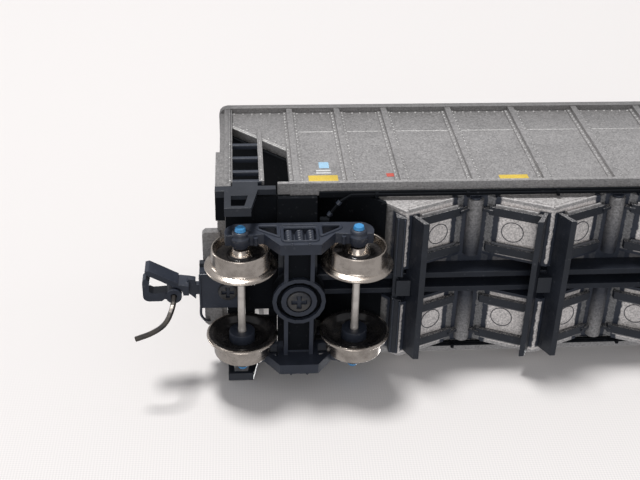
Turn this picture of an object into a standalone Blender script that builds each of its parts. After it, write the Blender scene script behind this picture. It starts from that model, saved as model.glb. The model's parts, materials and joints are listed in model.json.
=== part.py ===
"""A 1:160 model of a five-bay rapid-discharge hopper car, upright on its wheels.

The car lies along X, +Z is up, and the origin is the middle of the car on the plane that the wheel
flanges touch. End "a" is at -X and end "b" is at +X. "right" is -Y and "left" is +Y. Lengths are metres.
Heights are measured from the flange bottoms. Along the car a place is given either as a distance from the
middle of the car, or as a distance inboard of a truck's pivot.
"""

import math

import bmesh
import bpy
from mathutils import Matrix, Vector

# ---------------------------------------------------------------- driving sizes of the whole car
TRUCK_CENTRES = 0.0776
SHORT_PANEL = 0.0052  # the two side panels next to each truck's post
END_PANEL = 0.0067  # from a truck's post to the corner post
BAYS = 5
CLEARANCE = 0.00005  # between two pieces that seat on each other
RUNNING_CLEARANCE = 0.00012  # between two pieces that turn or slide on each other
WORKING_SCALE = 1000.0  # Booleans are worked this many times larger, far above the solver's tolerance
WELD_DISTANCE = 0.0004  # points nearer than this at the working scale are one point

# ---------------------------------------------------------------- body shell
SHEET_Y = 0.0096
SHEET_THICKNESS = 0.0007
SHELL_BOTTOM = 0.0080
POST_DEPTH = 0.0005
POST_WIDTH = 0.00078
POST_TAPER = 0.15  # run of a post's cheek to its depth
CORNER_POST_LAP = 0.0008  # from the corner post's middle to the end of the body
CORNER_ANGLE_WIDTH = 0.0014
CHORD_TOP = 0.02645
CHORD_HEIGHT = 0.0011
CHORD_Y = 0.0102
CHORD_WIDTH = 0.0012
CHORD_CORNER_RADIUS = 0.0009
CHORD_EDGE_RADIUS = 0.00028
CHORD_END_LAP = 0.0001
SILL_TOP = 0.0084
SILL_THICKNESS = 0.0004
SILL_Y = 0.01025
SILL_WIDTH = 0.0012
SILL_END_INSET = 0.0019  # how far the side sill runs outboard of the truck's pivot

# ---------------------------------------------------------------- end slope sheets
SLOPE_TOP = 0.0241  # height of the slope sheet's upper face at the end of the body
SLOPE_ANGLE = math.radians(45)
SLOPE_THICKNESS = 0.00084
SIDE_OPENING_INNER = 0.0007  # outboard of the truck's pivot

# ---------------------------------------------------------------- end of the body
END_SILL_Y = 0.0068
END_SILL_BOTTOM = 0.0075
END_SILL_HEIGHT = 0.0010
END_SILL_WIDTH = 0.0005
WALKWAY_Y = 0.0055
WALKWAY_LENGTH = 0.0015
WALKWAY_Z = (0.0071, 0.00795)
WALKWAY_CORNER = 0.0003
END_LADDER_TOP = 0.0162
END_LADDER_WIDTH = 0.0029
END_LADDER_STAND_OFF = 0.0004
LADDER_BAR = 0.0003

# ---------------------------------------------------------------- side ladders
LADDER_STILE_GAP = 0.0031  # between the corner post and the far stile
LADDER_STILE_WIDTH = 0.0005
LADDER_TOP = 0.0203
LADDER_RUNG_Z = (0.0089, 0.0108, 0.0137, 0.0166)
END_LADDER_RUNGS = 3
END_LADDER_PITCH = 0.0026
LADDER_DEPTH = 0.0003

# ---------------------------------------------------------------- hopper floor, bays and doors
BAY_Y = 0.0086
DOOR_INNER_Y = 0.00195
SEAM_Z = 0.0052
DOOR_ANGLE = math.radians(23.9)
DOOR_REACH = 0.0051  # from the seam to the door's upper edge, along the car
DOOR_STEP_REACH = 0.0008
FLOOR_UNDERSIDE = 0.00795
FLOOR_TOP = 0.0086
FLOOR_WALL = 0.0005
FLOOR_PLATE = 0.0007
RIDGE_HEIGHT = 0.0024
RIDGE_HALF_WIDTH = 0.0022
HOOD_HEIGHT = 0.0020
CROSS_TUBE_RADIUS = 0.00055

# ---------------------------------------------------------------- door frames
FRAME_END_Y = 0.0080
FRAME_BEAM_BASE = 0.00047  # from the seam
FRAME_BEAM_TIP = 0.00135
FRAME_BEAM_TIP_WIDTH = 0.00056
FRAME_BEAM_TIP_Z = 0.00372
FRAME_BEAM_BASE_WIDTH = 0.00038
SLOPE_BAR = (0.00012, 0.00105)  # from the outermost seam, under the slope sheet
SLOPE_BAR_BOTTOM = (0.00475, 0.00505)
SLOPE_BAR_GAP_Y = 0.00135
DOOR_BAR_OUTER = (0.00685, 0.00775)
DOOR_BAR_INNER = (0.00265, 0.0035)
DOOR_BAR_DEPTH = 0.00055
DOOR_BAR_REACH = 0.0058
HANGER_Y = 0.0009
HANGER_HALF_LENGTH = 0.0007
BEAM_OVERRUN = 0.15  # of the plate's run, cut off again along the door
BAR_OVERRUN = 0.0003

# ---------------------------------------------------------------- centre sill and end frames
CENTRE_SILL_Y = 0.00115
CENTRE_SILL_FLANGE = 0.0006
CENTRE_SILL_BOTTOM = 0.0058
CENTRE_SILL_WEB = 0.00045
UNDERFRAME_TOP = 0.0079
BOLSTER_LENGTH = 0.0038
BOLSTER_Y = 0.0090
BOLSTER_TIP_DEPTH = 0.0006
BOLSTER_BOTTOM = 0.0057
BOLSTER_FLAT_Y = 0.0022
PIVOT_BOSS_RADIUS = 0.0016
BULKHEAD_THICKNESS = 0.0006
LINER_THICKNESS = 0.0004
LINER_Y = 0.0088
LINER_INNER = 0.0085  # inboard of the truck's pivot
LINER_OUTER = 0.0066  # outboard of the truck's pivot
PLATFORM_INNER = 0.0042  # outboard of the truck's pivot
PLATFORM_BOTTOM = 0.0074
PLATFORM_Y = 0.0095
POCKET_Y = 0.0024
POCKET_BOTTOM = 0.0064
CORNER_SILL_LENGTH = 0.0004
CORNER_SILL_BOTTOM = 0.0070
SIDE_STRIP_BOTTOM = 0.0072
SIDE_STRIP_Y = 0.0101
SIDE_STRIP_DEPTH = 0.0006
SIDE_STRIP_INNER = 0.0021  # outboard of the truck's pivot
LADDER_FOOT_TOP = 0.0088
STIRRUP_OUTER = 0.0070  # outboard of the truck's pivot
STIRRUP_INNER = 0.0038
STIRRUP_TREAD_INNER = 0.0045
STIRRUP_BOTTOM = 0.0037
STIRRUP_BAR = 0.00045
STIRRUP_HOLE_TOP = 0.0061
STIRRUP_LEG = 0.00062
STIRRUP_DEPTH = 0.0009

# ---------------------------------------------------------------- pipe rails
RAIL_Y = (0.00886, 0.0094)
RAIL_BOTTOM = 0.00765
PIPE_RADIUS = 0.00015
PIPE_Y = 0.00915
CLAMP_PITCH = 0.0089
CLAMP_LENGTH = 0.0003
CLAMP_DEPTH = 0.00045
PIPE_DROP_X = 0.0046  # inboard of the truck's pivot
PIPE_FITTING = (0.0026, 0.0066, 0.0071)  # inboard of the pivot, |y|, height
FITTING_RADIUS = 0.00042
FITTING_LENGTH = 0.0009

# ---------------------------------------------------------------- trucks
WHEELBASE = 0.0111
SIDE_FRAME_Y = (0.0064, 0.0075)
SIDE_FRAME_TOP = 0.0053
SIDE_FRAME_BOTTOM = 0.00125
PEDESTAL_RADIUS = 0.0015
PEDESTAL_HALF_WIDTH = 0.0011
PEDESTAL_DROP = 0.0004
PEDESTAL_TAPER = 0.00028
PEDESTAL_NECK = 0.0011
CHORD_FLAT = 0.0019
WINDOW_INNER = 0.0020  # from the truck's pivot
WINDOW_TO_AXLE = 0.0016
WINDOW_TOP = 0.00470
WINDOW_WALL = 0.00037  # of casting between the window and the neck of the pedestal
WINDOW_RISE = 0.72  # of the window's lower edge along the car
WINDOW_CORNER = 0.00032
WINDOW_LIP = 0.00019
WINDOW_LIP_DEPTH = 0.0001
SPRING_WINDOW = 0.00165
SPRING_WINDOW_BOTTOM = 0.00185
SPRING_WINDOW_TOP = 0.0043
SPRING_COLUMNS = 3
SPRING_RADIUS = 0.00045
TRUCK_BOLSTER_X = 0.00145
TRUCK_BOLSTER_Z = (0.0034, 0.0050)
BOLSTER_RIB = 0.0004
RING_RADIUS = 0.0026
RING_WALL = 0.0004
RING_BOTTOM = 0.0029
RING_FLOOR = 0.0036
BOSS_RADIUS = 0.00175
BOSS_BOTTOM = 0.0030
BEARING_RADIUS = 0.00074
BEARING_DEPTH = 0.00027
BEARING_INNER = 0.00028  # how far the bearing stands in from the side frame's inner face
CAP_RADIUS = 0.00055
CAP_THICKNESS = 0.0003
TRUCK_SCREW_HEAD_RADIUS = 0.00115
TRUCK_SCREW_HEAD_HEIGHT = 0.00045
TRUCK_SCREW_RADIUS = 0.0005
TRUCK_SCREW_TIP = 0.0072
TRUCK_SCREW_RECESS = 0.00025

# ---------------------------------------------------------------- wheelsets
FLANGE_RADIUS = 0.0035
TREAD_RADIUS = 0.00285
TREAD_TAPER = 0.0001
BACK_TO_BACK = 0.0076
WHEEL_WIDTH = 0.0022
FLANGE_WIDTH = 0.0006
RIM_INNER_RADIUS = 0.0023
WEB_THICKNESS = 0.0006
WEB_PLACE = 0.62  # the web's outer face, as a part of the wheel's width
HUB_RADIUS = 0.0010
AXLE_RADIUS = 0.00038
AXLE_POINT_DEPTH = 0.00065  # into the side frame
AXLE_SHOULDER_GAP = 0.0001  # from the side frame to where the axle's point begins
BUSH_RADIUS = 0.00125
BUSH_FLANGE = 0.0002
TURNED_STEPS = 18

# ---------------------------------------------------------------- couplers
BOX_END = 0.0096  # outboard of the truck's pivot
BOX_INNER = 0.0054
BOX_Y = 0.0020
BOX_BOTTOM = 0.00505
BOX_WALL = 0.00035
LID_THICKNESS = 0.00028
COUPLER_PIVOT = 0.00687  # outboard of the truck's pivot
COUPLER_POST_RADIUS = 0.0006
BOX_SCREW_HEAD_RADIUS = 0.00095
BOX_SCREW_HEAD_HEIGHT = 0.0003
BOX_SCREW_RADIUS = 0.0003
SHANK_Z = (0.00542, 0.00610)
SHANK_WIDTH = 0.0011
SHANK_EYE_RADIUS = 0.00098
SHANK_SHIFT = -0.00035  # the split shank carries its head off the centreline, toward -Y at end a
SHANK_END = 0.0113
SHANK_FLARE_START = 0.0100
SHANK_FLARE_WIDTH = 0.0022
SHANK_FLARE_LENGTH = 0.0006
HEAD_Z = (0.0047, 0.0066)
GUARD_ARM_TIP = (0.01465, -0.0029)
GUARD_ARM_ROOT = (0.01165, -0.0012)
GUARD_ARM_THICKNESS = 0.00055
KNUCKLE_PIVOT = (0.0121, 0.0001)
KNUCKLE_BOSS_RADIUS = 0.00078
KNUCKLE_FRONT = 0.0151
KNUCKLE_Y = (-0.0019, 0.0008)
KNUCKLE_THICKNESS = 0.0006
BOSS_DROP = 0.0003
PIN_RADIUS = 0.00027
PIN_END = (0.0157, 0.0026, 0.00105)

# ---------------------------------------------------------------- hand brake at end b
BRAKE_STAND_Y = 0.0046
BRAKE_STAND_WIDTH = 0.0009
BRAKE_STAND_TOP = 0.0196
BRAKE_STAND_DEPTH = 0.0005
BRAKE_GEAR_Z = 0.0176
BRAKE_GEAR_HEIGHT = 0.0030
BRAKE_GEAR_WIDTH = 0.0022
BRAKE_GEAR_DEPTH = 0.0006
BRAKE_WHEEL_RADIUS = 0.0017
BRAKE_WHEEL_RIM = 0.00018
BRAKE_WHEEL_SPOKES = 5
BRAKE_WHEEL_STAND_OFF = 0.00035
BRAKE_HUB_RADIUS = 0.0003

# ---------------------------------------------------------------- worked out from the sizes above
TRUCK_X = TRUCK_CENTRES / 2
LONG_PANEL = (TRUCK_CENTRES - 4 * SHORT_PANEL) / (2 * BAYS - 2)
SEAM_X = TRUCK_X - 2 * SHORT_PANEL  # the outermost seam, under the third post
CORNER_X = TRUCK_X + END_PANEL
BODY_END = CORNER_X + CORNER_POST_LAP
SHEET_INNER_Y = SHEET_Y - SHEET_THICKNESS
CHORD_BOTTOM = CHORD_TOP - CHORD_HEIGHT
POST_Y = SHEET_Y + POST_DEPTH
SLOPE_DROP = SLOPE_THICKNESS / math.cos(SLOPE_ANGLE)
DOOR_TOP_Z = SEAM_Z + DOOR_REACH * math.tan(DOOR_ANGLE)
AXLE_HALF_LENGTH = SIDE_FRAME_Y[0] + AXLE_POINT_DEPTH
AXLE_SHOULDER = SIDE_FRAME_Y[0] - AXLE_SHOULDER_GAP
ENDS = {"a": -1, "b": 1}
SIDES = {"right": -1, "left": 1}

PAINTS = {
    "silver": ((0.33, 0.315, 0.305), 0.42, 0.55),
    "black": ((0.028, 0.031, 0.036), 0.48, 0.0),
    "nickel": ((0.62, 0.57, 0.51), 0.28, 1.0),
    "dark_nickel": ((0.20, 0.19, 0.18), 0.35, 1.0),
    "blue": ((0.03, 0.27, 0.62), 0.40, 0.0),
    "bronze": ((0.12, 0.10, 0.085), 0.35, 0.9),
}


# ================================================================ helpers
def clear_scene():
    """Removes whatever the scene holds."""
    for obj in list(bpy.data.objects):
        bpy.data.objects.remove(obj, do_unlink=True)


def paint(name):
    """The material of this name, made when it is first asked for."""
    found = bpy.data.materials.get(name)
    if found:
        return found
    colour, roughness, metallic = PAINTS[name]
    material = bpy.data.materials.new(name)
    material.use_nodes = True
    shader = material.node_tree.nodes["Principled BSDF"]
    shader.inputs["Base Color"].default_value = (*colour, 1.0)
    shader.inputs["Roughness"].default_value = roughness
    shader.inputs["Metallic"].default_value = metallic
    material.diffuse_color = (*colour, 1.0)
    return material


def object_of(bm, name="shape"):
    """Turns a bmesh into a linked object with its faces pointing out."""
    bmesh.ops.recalc_face_normals(bm, faces=bm.faces[:])
    mesh = bpy.data.meshes.new(name)
    bm.to_mesh(mesh)
    bm.free()
    obj = bpy.data.objects.new(name, mesh)
    bpy.context.scene.collection.objects.link(obj)
    return obj


def block(x, y, z):
    """A box between three (low, high) pairs, given in either order."""
    bm = bmesh.new()
    bmesh.ops.create_cube(bm, size=1.0)
    pairs = [sorted(pair) for pair in (x, y, z)]
    size = Vector([high - low for low, high in pairs])
    middle = Vector([(low + high) / 2 for low, high in pairs])
    bmesh.ops.scale(bm, vec=size, verts=bm.verts[:])
    bmesh.ops.translate(bm, vec=middle, verts=bm.verts[:])
    return object_of(bm)


def extruded(outline, axis, low, high):
    """Extrudes a closed outline along X, Y or Z. Its points give the two other coordinates in order."""
    spots = {"X": lambda a, b: (low, a, b), "Y": lambda a, b: (a, low, b), "Z": lambda a, b: (a, b, low)}
    steps = {"X": Vector((1, 0, 0)), "Y": Vector((0, 1, 0)), "Z": Vector((0, 0, 1))}
    bm = bmesh.new()
    face = bm.faces.new([bm.verts.new(spots[axis](a, b)) for a, b in outline])
    made = bmesh.ops.extrude_face_region(bm, geom=[face])
    moved = [item for item in made["geom"] if isinstance(item, bmesh.types.BMVert)]
    bmesh.ops.translate(bm, vec=steps[axis] * (high - low), verts=moved)
    return object_of(bm)


def turned(profile, axis, centre, steps=TURNED_STEPS):
    """Spins (radius, distance along the axis) points, which start and end on the axis or close on themselves."""
    along = {"X": Vector((1, 0, 0)), "Y": Vector((0, 1, 0)), "Z": Vector((0, 0, 1))}[axis]
    across = {"X": Vector((0, 1, 0)), "Y": Vector((0, 0, 1)), "Z": Vector((1, 0, 0))}[axis]
    centre = Vector(centre)
    bm = bmesh.new()
    verts = [bm.verts.new(centre + across * radius + along * distance) for radius, distance in profile]
    edges = [bm.edges.new(pair) for pair in zip(verts, verts[1:])]
    if profile[0][0] > 0:
        edges.append(bm.edges.new((verts[-1], verts[0])))
    bmesh.ops.spin(bm, geom=verts + edges, cent=centre, axis=along, angle=2 * math.pi, steps=steps, use_merge=True)
    bmesh.ops.remove_doubles(bm, verts=bm.verts[:], dist=1e-7)
    return object_of(bm)


def rod(points, radius, sides=6):
    """A round bar through the points, as a bevelled poly curve made into a mesh."""
    curve = bpy.data.curves.new("path", "CURVE")
    curve.dimensions = "3D"
    curve.bevel_depth = radius
    curve.bevel_resolution = (sides - 4) // 2
    curve.use_fill_caps = True
    spline = curve.splines.new("POLY")
    spline.points.add(len(points) - 1)
    for spot, point in zip(spline.points, points):
        spot.co = (*point, 1.0)
    holder = bpy.data.objects.new("path", curve)
    bpy.context.scene.collection.objects.link(holder)
    bpy.context.view_layer.update()
    mesh = bpy.data.meshes.new_from_object(holder.evaluated_get(bpy.context.evaluated_depsgraph_get()))
    bpy.data.objects.remove(holder, do_unlink=True)
    bm = bmesh.new()
    bm.from_mesh(mesh)
    bpy.data.meshes.remove(mesh)
    bmesh.ops.remove_doubles(bm, verts=bm.verts[:], dist=1e-7)
    return object_of(bm)


def smooth_path(corners, rounds=3):
    """Cuts the corners of a path until it runs smoothly, keeping its two ends."""
    path = [Vector(corner) for corner in corners]
    for _ in range(rounds):
        cut = [path[0]]
        for one, two in zip(path, path[1:]):
            cut += [one.lerp(two, 0.25), one.lerp(two, 0.75)]
        path = [*cut, path[-1]]
    return path


def arc(centre, radius, start, end, steps):
    """Points of a circular arc in a plane, angles in degrees."""
    turn = [math.radians(start + (end - start) * i / steps) for i in range(steps + 1)]
    return [(centre[0] + radius * math.cos(a), centre[1] + radius * math.sin(a)) for a in turn]


def softened(obj, width, chosen):
    """Rounds the edges that chosen(start, end) picks."""
    bm = bmesh.new()
    bm.from_mesh(obj.data)
    edges = [edge for edge in bm.edges if chosen(*(vert.co for vert in edge.verts))]
    bmesh.ops.bevel(bm, geom=edges, offset=width, segments=2, profile=0.5, affect="EDGES")
    bm.to_mesh(obj.data)
    bm.free()
    return obj


def cleaned(mesh):
    """Joins the points that a Boolean left on top of each other."""
    bm = bmesh.new()
    bm.from_mesh(mesh)
    bmesh.ops.remove_doubles(bm, verts=bm.verts[:], dist=WELD_DISTANCE)
    bm.to_mesh(mesh)
    bm.free()
    return mesh


def fused(name, shapes, colour, cuts=(), origin=(0, 0, 0), smooth=0.6):
    """One solid named name: the union of shapes, less cuts, with its origin at the given place."""
    base = shapes[0]
    operands = [(shape, "UNION") for shape in shapes[1:]]
    operands += [(shape, "DIFFERENCE") for shape in cuts]
    for shape in [base, *(operand for operand, _ in operands)]:
        shape.data.transform(Matrix.Scale(WORKING_SCALE, 4))
    for operand, operation in operands:
        modifier = base.modifiers.new(operation.lower(), "BOOLEAN")
        modifier.object = operand
        modifier.operation = operation
        modifier.solver = "EXACT"
    bpy.context.view_layer.update()
    mesh = bpy.data.meshes.new_from_object(base.evaluated_get(bpy.context.evaluated_depsgraph_get()))
    for helper in [base, *(operand for operand, _ in operands)]:
        bpy.data.meshes.remove(helper.data)
    cleaned(mesh)
    mesh.transform(Matrix.Scale(1 / WORKING_SCALE, 4))
    mesh.transform(Matrix.Translation(-Vector(origin)))
    mesh.name = name
    mesh.materials.clear()
    mesh.materials.append(paint(colour))
    mesh.shade_smooth()
    mesh.set_sharp_from_angle(angle=smooth)
    obj = bpy.data.objects.new(name, mesh)
    obj.location = origin
    bpy.context.scene.collection.objects.link(obj)
    return obj


def at(end, inboard):
    """X of a place this far inboard of the end's truck pivot. Outboard places are negative."""
    return ENDS[end] * (TRUCK_X - inboard)


def slope_z(x, below=0.0):
    """Height of the slope sheet's upper face at a distance x from the middle, or that far below it."""
    return SLOPE_TOP - (BODY_END - x) * math.tan(SLOPE_ANGLE) - below


def slope_x(z, below=0.0):
    """Distance from the middle at which the slope sheet's upper face, or a line below it, has height z."""
    return BODY_END - (SLOPE_TOP - below - z) / math.tan(SLOPE_ANGLE)


def door_z(reach):
    """Height of a door's underside at this distance from its seam."""
    return SEAM_Z + reach * math.tan(DOOR_ANGLE)


# ================================================================ body
def post_places():
    """Distances from the middle of the side posts on one half of the car, the middle post left out."""
    places = [LONG_PANEL * i for i in range(1, BAYS)]
    return places + [SEAM_X + SHORT_PANEL, TRUCK_X]


def side_sheet(side):
    """One side sheet: a long panel with the triangular opening under each slope sheet cut from its ends."""
    half = [
        (TRUCK_X + SIDE_OPENING_INNER, SHELL_BOTTOM),
        (TRUCK_X + SIDE_OPENING_INNER, slope_z(TRUCK_X + SIDE_OPENING_INNER, SLOPE_DROP)),
        (CORNER_X - POST_WIDTH / 2, slope_z(CORNER_X - POST_WIDTH / 2, SLOPE_DROP)),
        (CORNER_X - POST_WIDTH / 2, SHELL_BOTTOM),
        (BODY_END, SHELL_BOTTOM),
        (BODY_END, CHORD_BOTTOM + CLEARANCE),
    ]
    outline = half + [(-x, z) for x, z in reversed(half)]
    return extruded(outline, "Y", side * SHEET_INNER_Y, side * SHEET_Y)


def post(x, side, bottom):
    """A tapered stiffener standing on the side sheet, from bottom to the chord."""
    root = SHEET_Y - SHEET_THICKNESS / 2
    face = POST_WIDTH / 2 - POST_DEPTH * POST_TAPER
    half = [(POST_WIDTH / 2, root), (face, POST_Y)]
    outline = [(x + a, side * b) for a, b in half] + [(x - a, side * b) for a, b in reversed(half)]
    return extruded(outline, "Z", bottom, CHORD_BOTTOM + CHORD_HEIGHT / 2)


def chord_ring():
    """The top chord: a rounded rectangle round the open top, with softened upper edges."""
    corner = (BODY_END + CHORD_END_LAP - CHORD_CORNER_RADIUS, CHORD_Y - CHORD_CORNER_RADIUS)
    outline = []
    for quarter, (sx, sy) in enumerate([(1, 1), (-1, 1), (-1, -1), (1, -1)]):
        centre = (sx * corner[0], sy * corner[1])
        outline += arc(centre, CHORD_CORNER_RADIUS, 90 * quarter, 90 * quarter + 90, 3)
    ring = extruded(outline, "Z", CHORD_BOTTOM, CHORD_TOP)
    middle = (CHORD_BOTTOM + CHORD_TOP) / 2
    softened(ring, CHORD_EDGE_RADIUS, lambda start, end: min(start.z, end.z) > middle)
    inside = (BODY_END + CHORD_END_LAP - CHORD_WIDTH, CHORD_Y - CHORD_WIDTH)
    hole = block((-inside[0], inside[0]), (-inside[1], inside[1]), (CHORD_BOTTOM - CHORD_HEIGHT, CHORD_TOP * 2))
    return ring, hole


def slope_sheet(sign):
    """One end slope sheet, from the end of the body down to the floor."""
    outline = [
        (sign * BODY_END, SLOPE_TOP),
        (sign * slope_x(SHELL_BOTTOM), SHELL_BOTTOM),
        (sign * slope_x(SHELL_BOTTOM, SLOPE_DROP), SHELL_BOTTOM),
        (sign * BODY_END, SLOPE_TOP - SLOPE_DROP),
    ]
    inside = SHEET_INNER_Y + SHEET_THICKNESS / 2
    return extruded(outline, "Y", -inside, inside)


def end_ladder(sign, side):
    """Stiles and rungs on the end of the body beside the corner post, down to the end sill."""
    near = BODY_END
    far = BODY_END + END_LADDER_STAND_OFF
    outer = SHEET_Y
    inner = outer - END_LADDER_WIDTH
    bottom = END_SILL_BOTTOM + END_SILL_HEIGHT / 2
    shapes = [
        block(
            (sign * (near - LADDER_BAR), sign * far),
            (side * (outer - CLEARANCE), side * (outer - LADDER_BAR)),
            (SHELL_BOTTOM + CLEARANCE, END_LADDER_TOP),
        ),
        block(
            (sign * (near - LADDER_BAR), sign * far),
            (side * inner, side * (inner + LADDER_BAR)),
            (bottom, END_LADDER_TOP),
        ),
    ]
    for i in range(END_LADDER_RUNGS):
        z = END_LADDER_TOP - LADDER_BAR - i * END_LADDER_PITCH
        shapes.append(
            block(
                (sign * (far - LADDER_BAR), sign * far),
                (side * (inner + LADDER_BAR / 2), side * (outer - LADDER_BAR / 2)),
                (z, z + LADDER_BAR),
            )
        )
    return shapes


def body_end(sign):
    """End wall, corner angles, ladders, end sill and the walkway over the coupler."""
    end = sign * BODY_END
    wall = block((end, end - sign * SHEET_THICKNESS), (-SHEET_Y, SHEET_Y), (SLOPE_TOP - SLOPE_DROP, CHORD_BOTTOM + CLEARANCE))
    shapes = [wall]
    sill_top = END_SILL_BOTTOM + END_SILL_HEIGHT
    sill_x = (end - sign * END_SILL_WIDTH, end + sign * END_SILL_WIDTH / 2)
    shapes.append(block(sill_x, (-END_SILL_Y, END_SILL_Y), (END_SILL_BOTTOM, sill_top)))
    shapes.append(block(sill_x, (-SHEET_Y, SHEET_Y), (SHELL_BOTTOM + CLEARANCE, sill_top)))
    for side in SIDES.values():
        angle_y = (side * SHEET_Y, side * (SHEET_Y - CORNER_ANGLE_WIDTH))
        angle_z = (SHELL_BOTTOM, CHORD_BOTTOM + CLEARANCE)
        shapes.append(block((end, end - sign * SHEET_THICKNESS), angle_y, angle_z))
        shapes += end_ladder(sign, side)
    tip = end + sign * (END_SILL_WIDTH / 2 + WALKWAY_LENGTH)
    cut = sign * WALKWAY_CORNER
    slab = [(end, WALKWAY_Y), (tip - cut, WALKWAY_Y), (tip, WALKWAY_Y - WALKWAY_CORNER)]
    slab += [(x, -y) for x, y in reversed(slab)]
    shapes.append(extruded(slab, "Z", *WALKWAY_Z))
    return shapes


def side_sill(side):
    """The flange along the bottom of a side, between the truck openings."""
    reach = TRUCK_X + SILL_END_INSET
    inner = SILL_Y - SILL_WIDTH
    outline = [
        (side * SILL_Y, SILL_TOP),
        (side * SILL_Y, SILL_TOP - SILL_THICKNESS),
        (side * inner, SILL_TOP - SILL_THICKNESS + CLEARANCE),
        (side * inner, SILL_TOP),
    ]
    return extruded(outline, "X", -reach, reach)


def make_body_shell():
    """The silver upper moulding: sides, posts, chord, slope sheets and ends."""
    shapes = []
    cuts = []
    for side in SIDES.values():
        shapes.append(side_sheet(side))
    ring, hole = chord_ring()
    shapes.append(ring)
    cuts.append(hole)
    for sign in ENDS.values():
        shapes.append(slope_sheet(sign))
        shapes += body_end(sign)
    for side in SIDES.values():
        shapes.append(side_sill(side))
        foot = SILL_TOP - SILL_THICKNESS / 2
        shapes.append(post(0.0, side, foot))
        for sign in ENDS.values():
            shapes.append(post(sign * CORNER_X, side, SHELL_BOTTOM))
            for x in post_places():
                shapes.append(post(sign * x, side, foot))
    return fused("body_shell", shapes, "silver", cuts=cuts)


# ================================================================ hopper floor
def seam_places():
    """X of the seams between the two doors of each bay."""
    pitch = 2 * SEAM_X / (BAYS - 1)
    return [-SEAM_X + pitch * i for i in range(BAYS)]


def floor_outline():
    """The bays seen from the side: V bottoms below, a flat top above, ends along the slope sheets."""
    step = DOOR_REACH + DOOR_STEP_REACH
    top = FLOOR_TOP
    outline = []
    for sign in (-1, 1):
        low = (sign * slope_x(SEAM_Z, SLOPE_DROP), SEAM_Z)
        high = (sign * slope_x(FLOOR_UNDERSIDE, SLOPE_DROP), FLOOR_UNDERSIDE)
        inner = (sign * (slope_x(FLOOR_UNDERSIDE) - CLEARANCE), FLOOR_UNDERSIDE)
        crest = (sign * (slope_x(top) - CLEARANCE * 2), top)
        if sign < 0:
            start = [crest, inner, high, low]
        else:
            finish = [low, high, inner, crest]
    outline += start
    for i, x in enumerate(seam_places()):
        if i > 0:
            outline += [(x - step, FLOOR_UNDERSIDE), (x - DOOR_REACH, DOOR_TOP_Z)]
        outline.append((x, SEAM_Z))
        if i < BAYS - 1:
            outline += [(x + DOOR_REACH, DOOR_TOP_Z), (x + step, FLOOR_UNDERSIDE)]
    return outline + finish


def bay_pocket(x, side):
    """The hollow above one pair of doors on one side of the centre hood."""
    top = FLOOR_TOP + RIDGE_HEIGHT
    reach = DOOR_REACH - FLOOR_PLATE / 2
    high = door_z(reach) + FLOOR_PLATE
    points = [(x, SEAM_Z + FLOOR_PLATE), (x + reach, high), (x + reach, top), (x - reach, top), (x - reach, high)]
    if abs(x) > SEAM_X - CLEARANCE:
        sign = math.copysign(1, x)
        rise = math.tan(DOOR_ANGLE)
        meet = (SEAM_Z + FLOOR_PLATE + SEAM_X * rise - slope_z(0)) / (1 + rise)
        points = [
            (sign * meet, slope_z(meet)),
            (x - sign * reach, high),
            (x - sign * reach, top),
            (sign * slope_x(top), top),
        ]
    y = (DOOR_INNER_Y + FLOOR_WALL, BAY_Y - FLOOR_WALL)
    return extruded(points, "Y", side * y[0], side * y[1])


def floor_ridge(x):
    """The sloped ridge between two bays, which sheds the load into them."""
    low = FLOOR_TOP - CLEARANCE
    ridge = [(x - RIDGE_HALF_WIDTH, low), (x, FLOOR_TOP + RIDGE_HEIGHT), (x + RIDGE_HALF_WIDTH, low)]
    y = SHEET_INNER_Y - CLEARANCE
    return extruded(ridge, "Y", -y, y)


def cross_tube(x, side):
    """The round tube below the floor between two bays."""
    profile = arc((x, FLOOR_UNDERSIDE), CROSS_TUBE_RADIUS, 180, 360, 6)
    profile.append((x + CROSS_TUBE_RADIUS, FLOOR_UNDERSIDE + CLEARANCE))
    profile.append((x - CROSS_TUBE_RADIUS, FLOOR_UNDERSIDE + CLEARANCE))
    return extruded(profile, "Y", side * DOOR_INNER_Y, side * BAY_Y)


def centre_hood():
    """The peaked hood over the centre sill that parts the load to the two sides."""
    low = FLOOR_TOP - CLEARANCE
    reach = slope_x(FLOOR_TOP) - FLOOR_WALL
    half = DOOR_INNER_Y + FLOOR_WALL
    return extruded([(-half, low), (0, FLOOR_TOP + HOOD_HEIGHT), (half, low)], "X", -reach, reach)


def make_hopper_floor():
    """The silver lower moulding: five V-bottomed bays, the ridges between them and the cross tubes."""
    rim = SHEET_INNER_Y - CLEARANCE
    end_low = slope_x(FLOOR_UNDERSIDE) - CLEARANCE
    end_high = slope_x(FLOOR_TOP) - CLEARANCE * 2
    slab = [(-end_low, FLOOR_UNDERSIDE), (end_low, FLOOR_UNDERSIDE), (end_high, FLOOR_TOP), (-end_high, FLOOR_TOP)]
    shapes = [extruded(floor_outline(), "Y", -BAY_Y, BAY_Y), extruded(slab, "Y", -rim, rim)]
    seams = seam_places()
    cuts = [bay_pocket(x, side) for side in SIDES.values() for x in seams]
    hood = DOOR_INNER_Y
    cuts.append(block((-BODY_END, BODY_END), (-hood, hood), (0, FLOOR_UNDERSIDE)))
    floor = fused("floor_blank", shapes, "silver", cuts=cuts)
    finish = [floor, centre_hood()]
    for one, two in zip(seams, seams[1:]):
        middle = (one + two) / 2
        finish.append(floor_ridge(middle))
        finish += [cross_tube(middle, side) for side in SIDES.values()]
    return fused("hopper_floor", finish, "silver")


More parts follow.
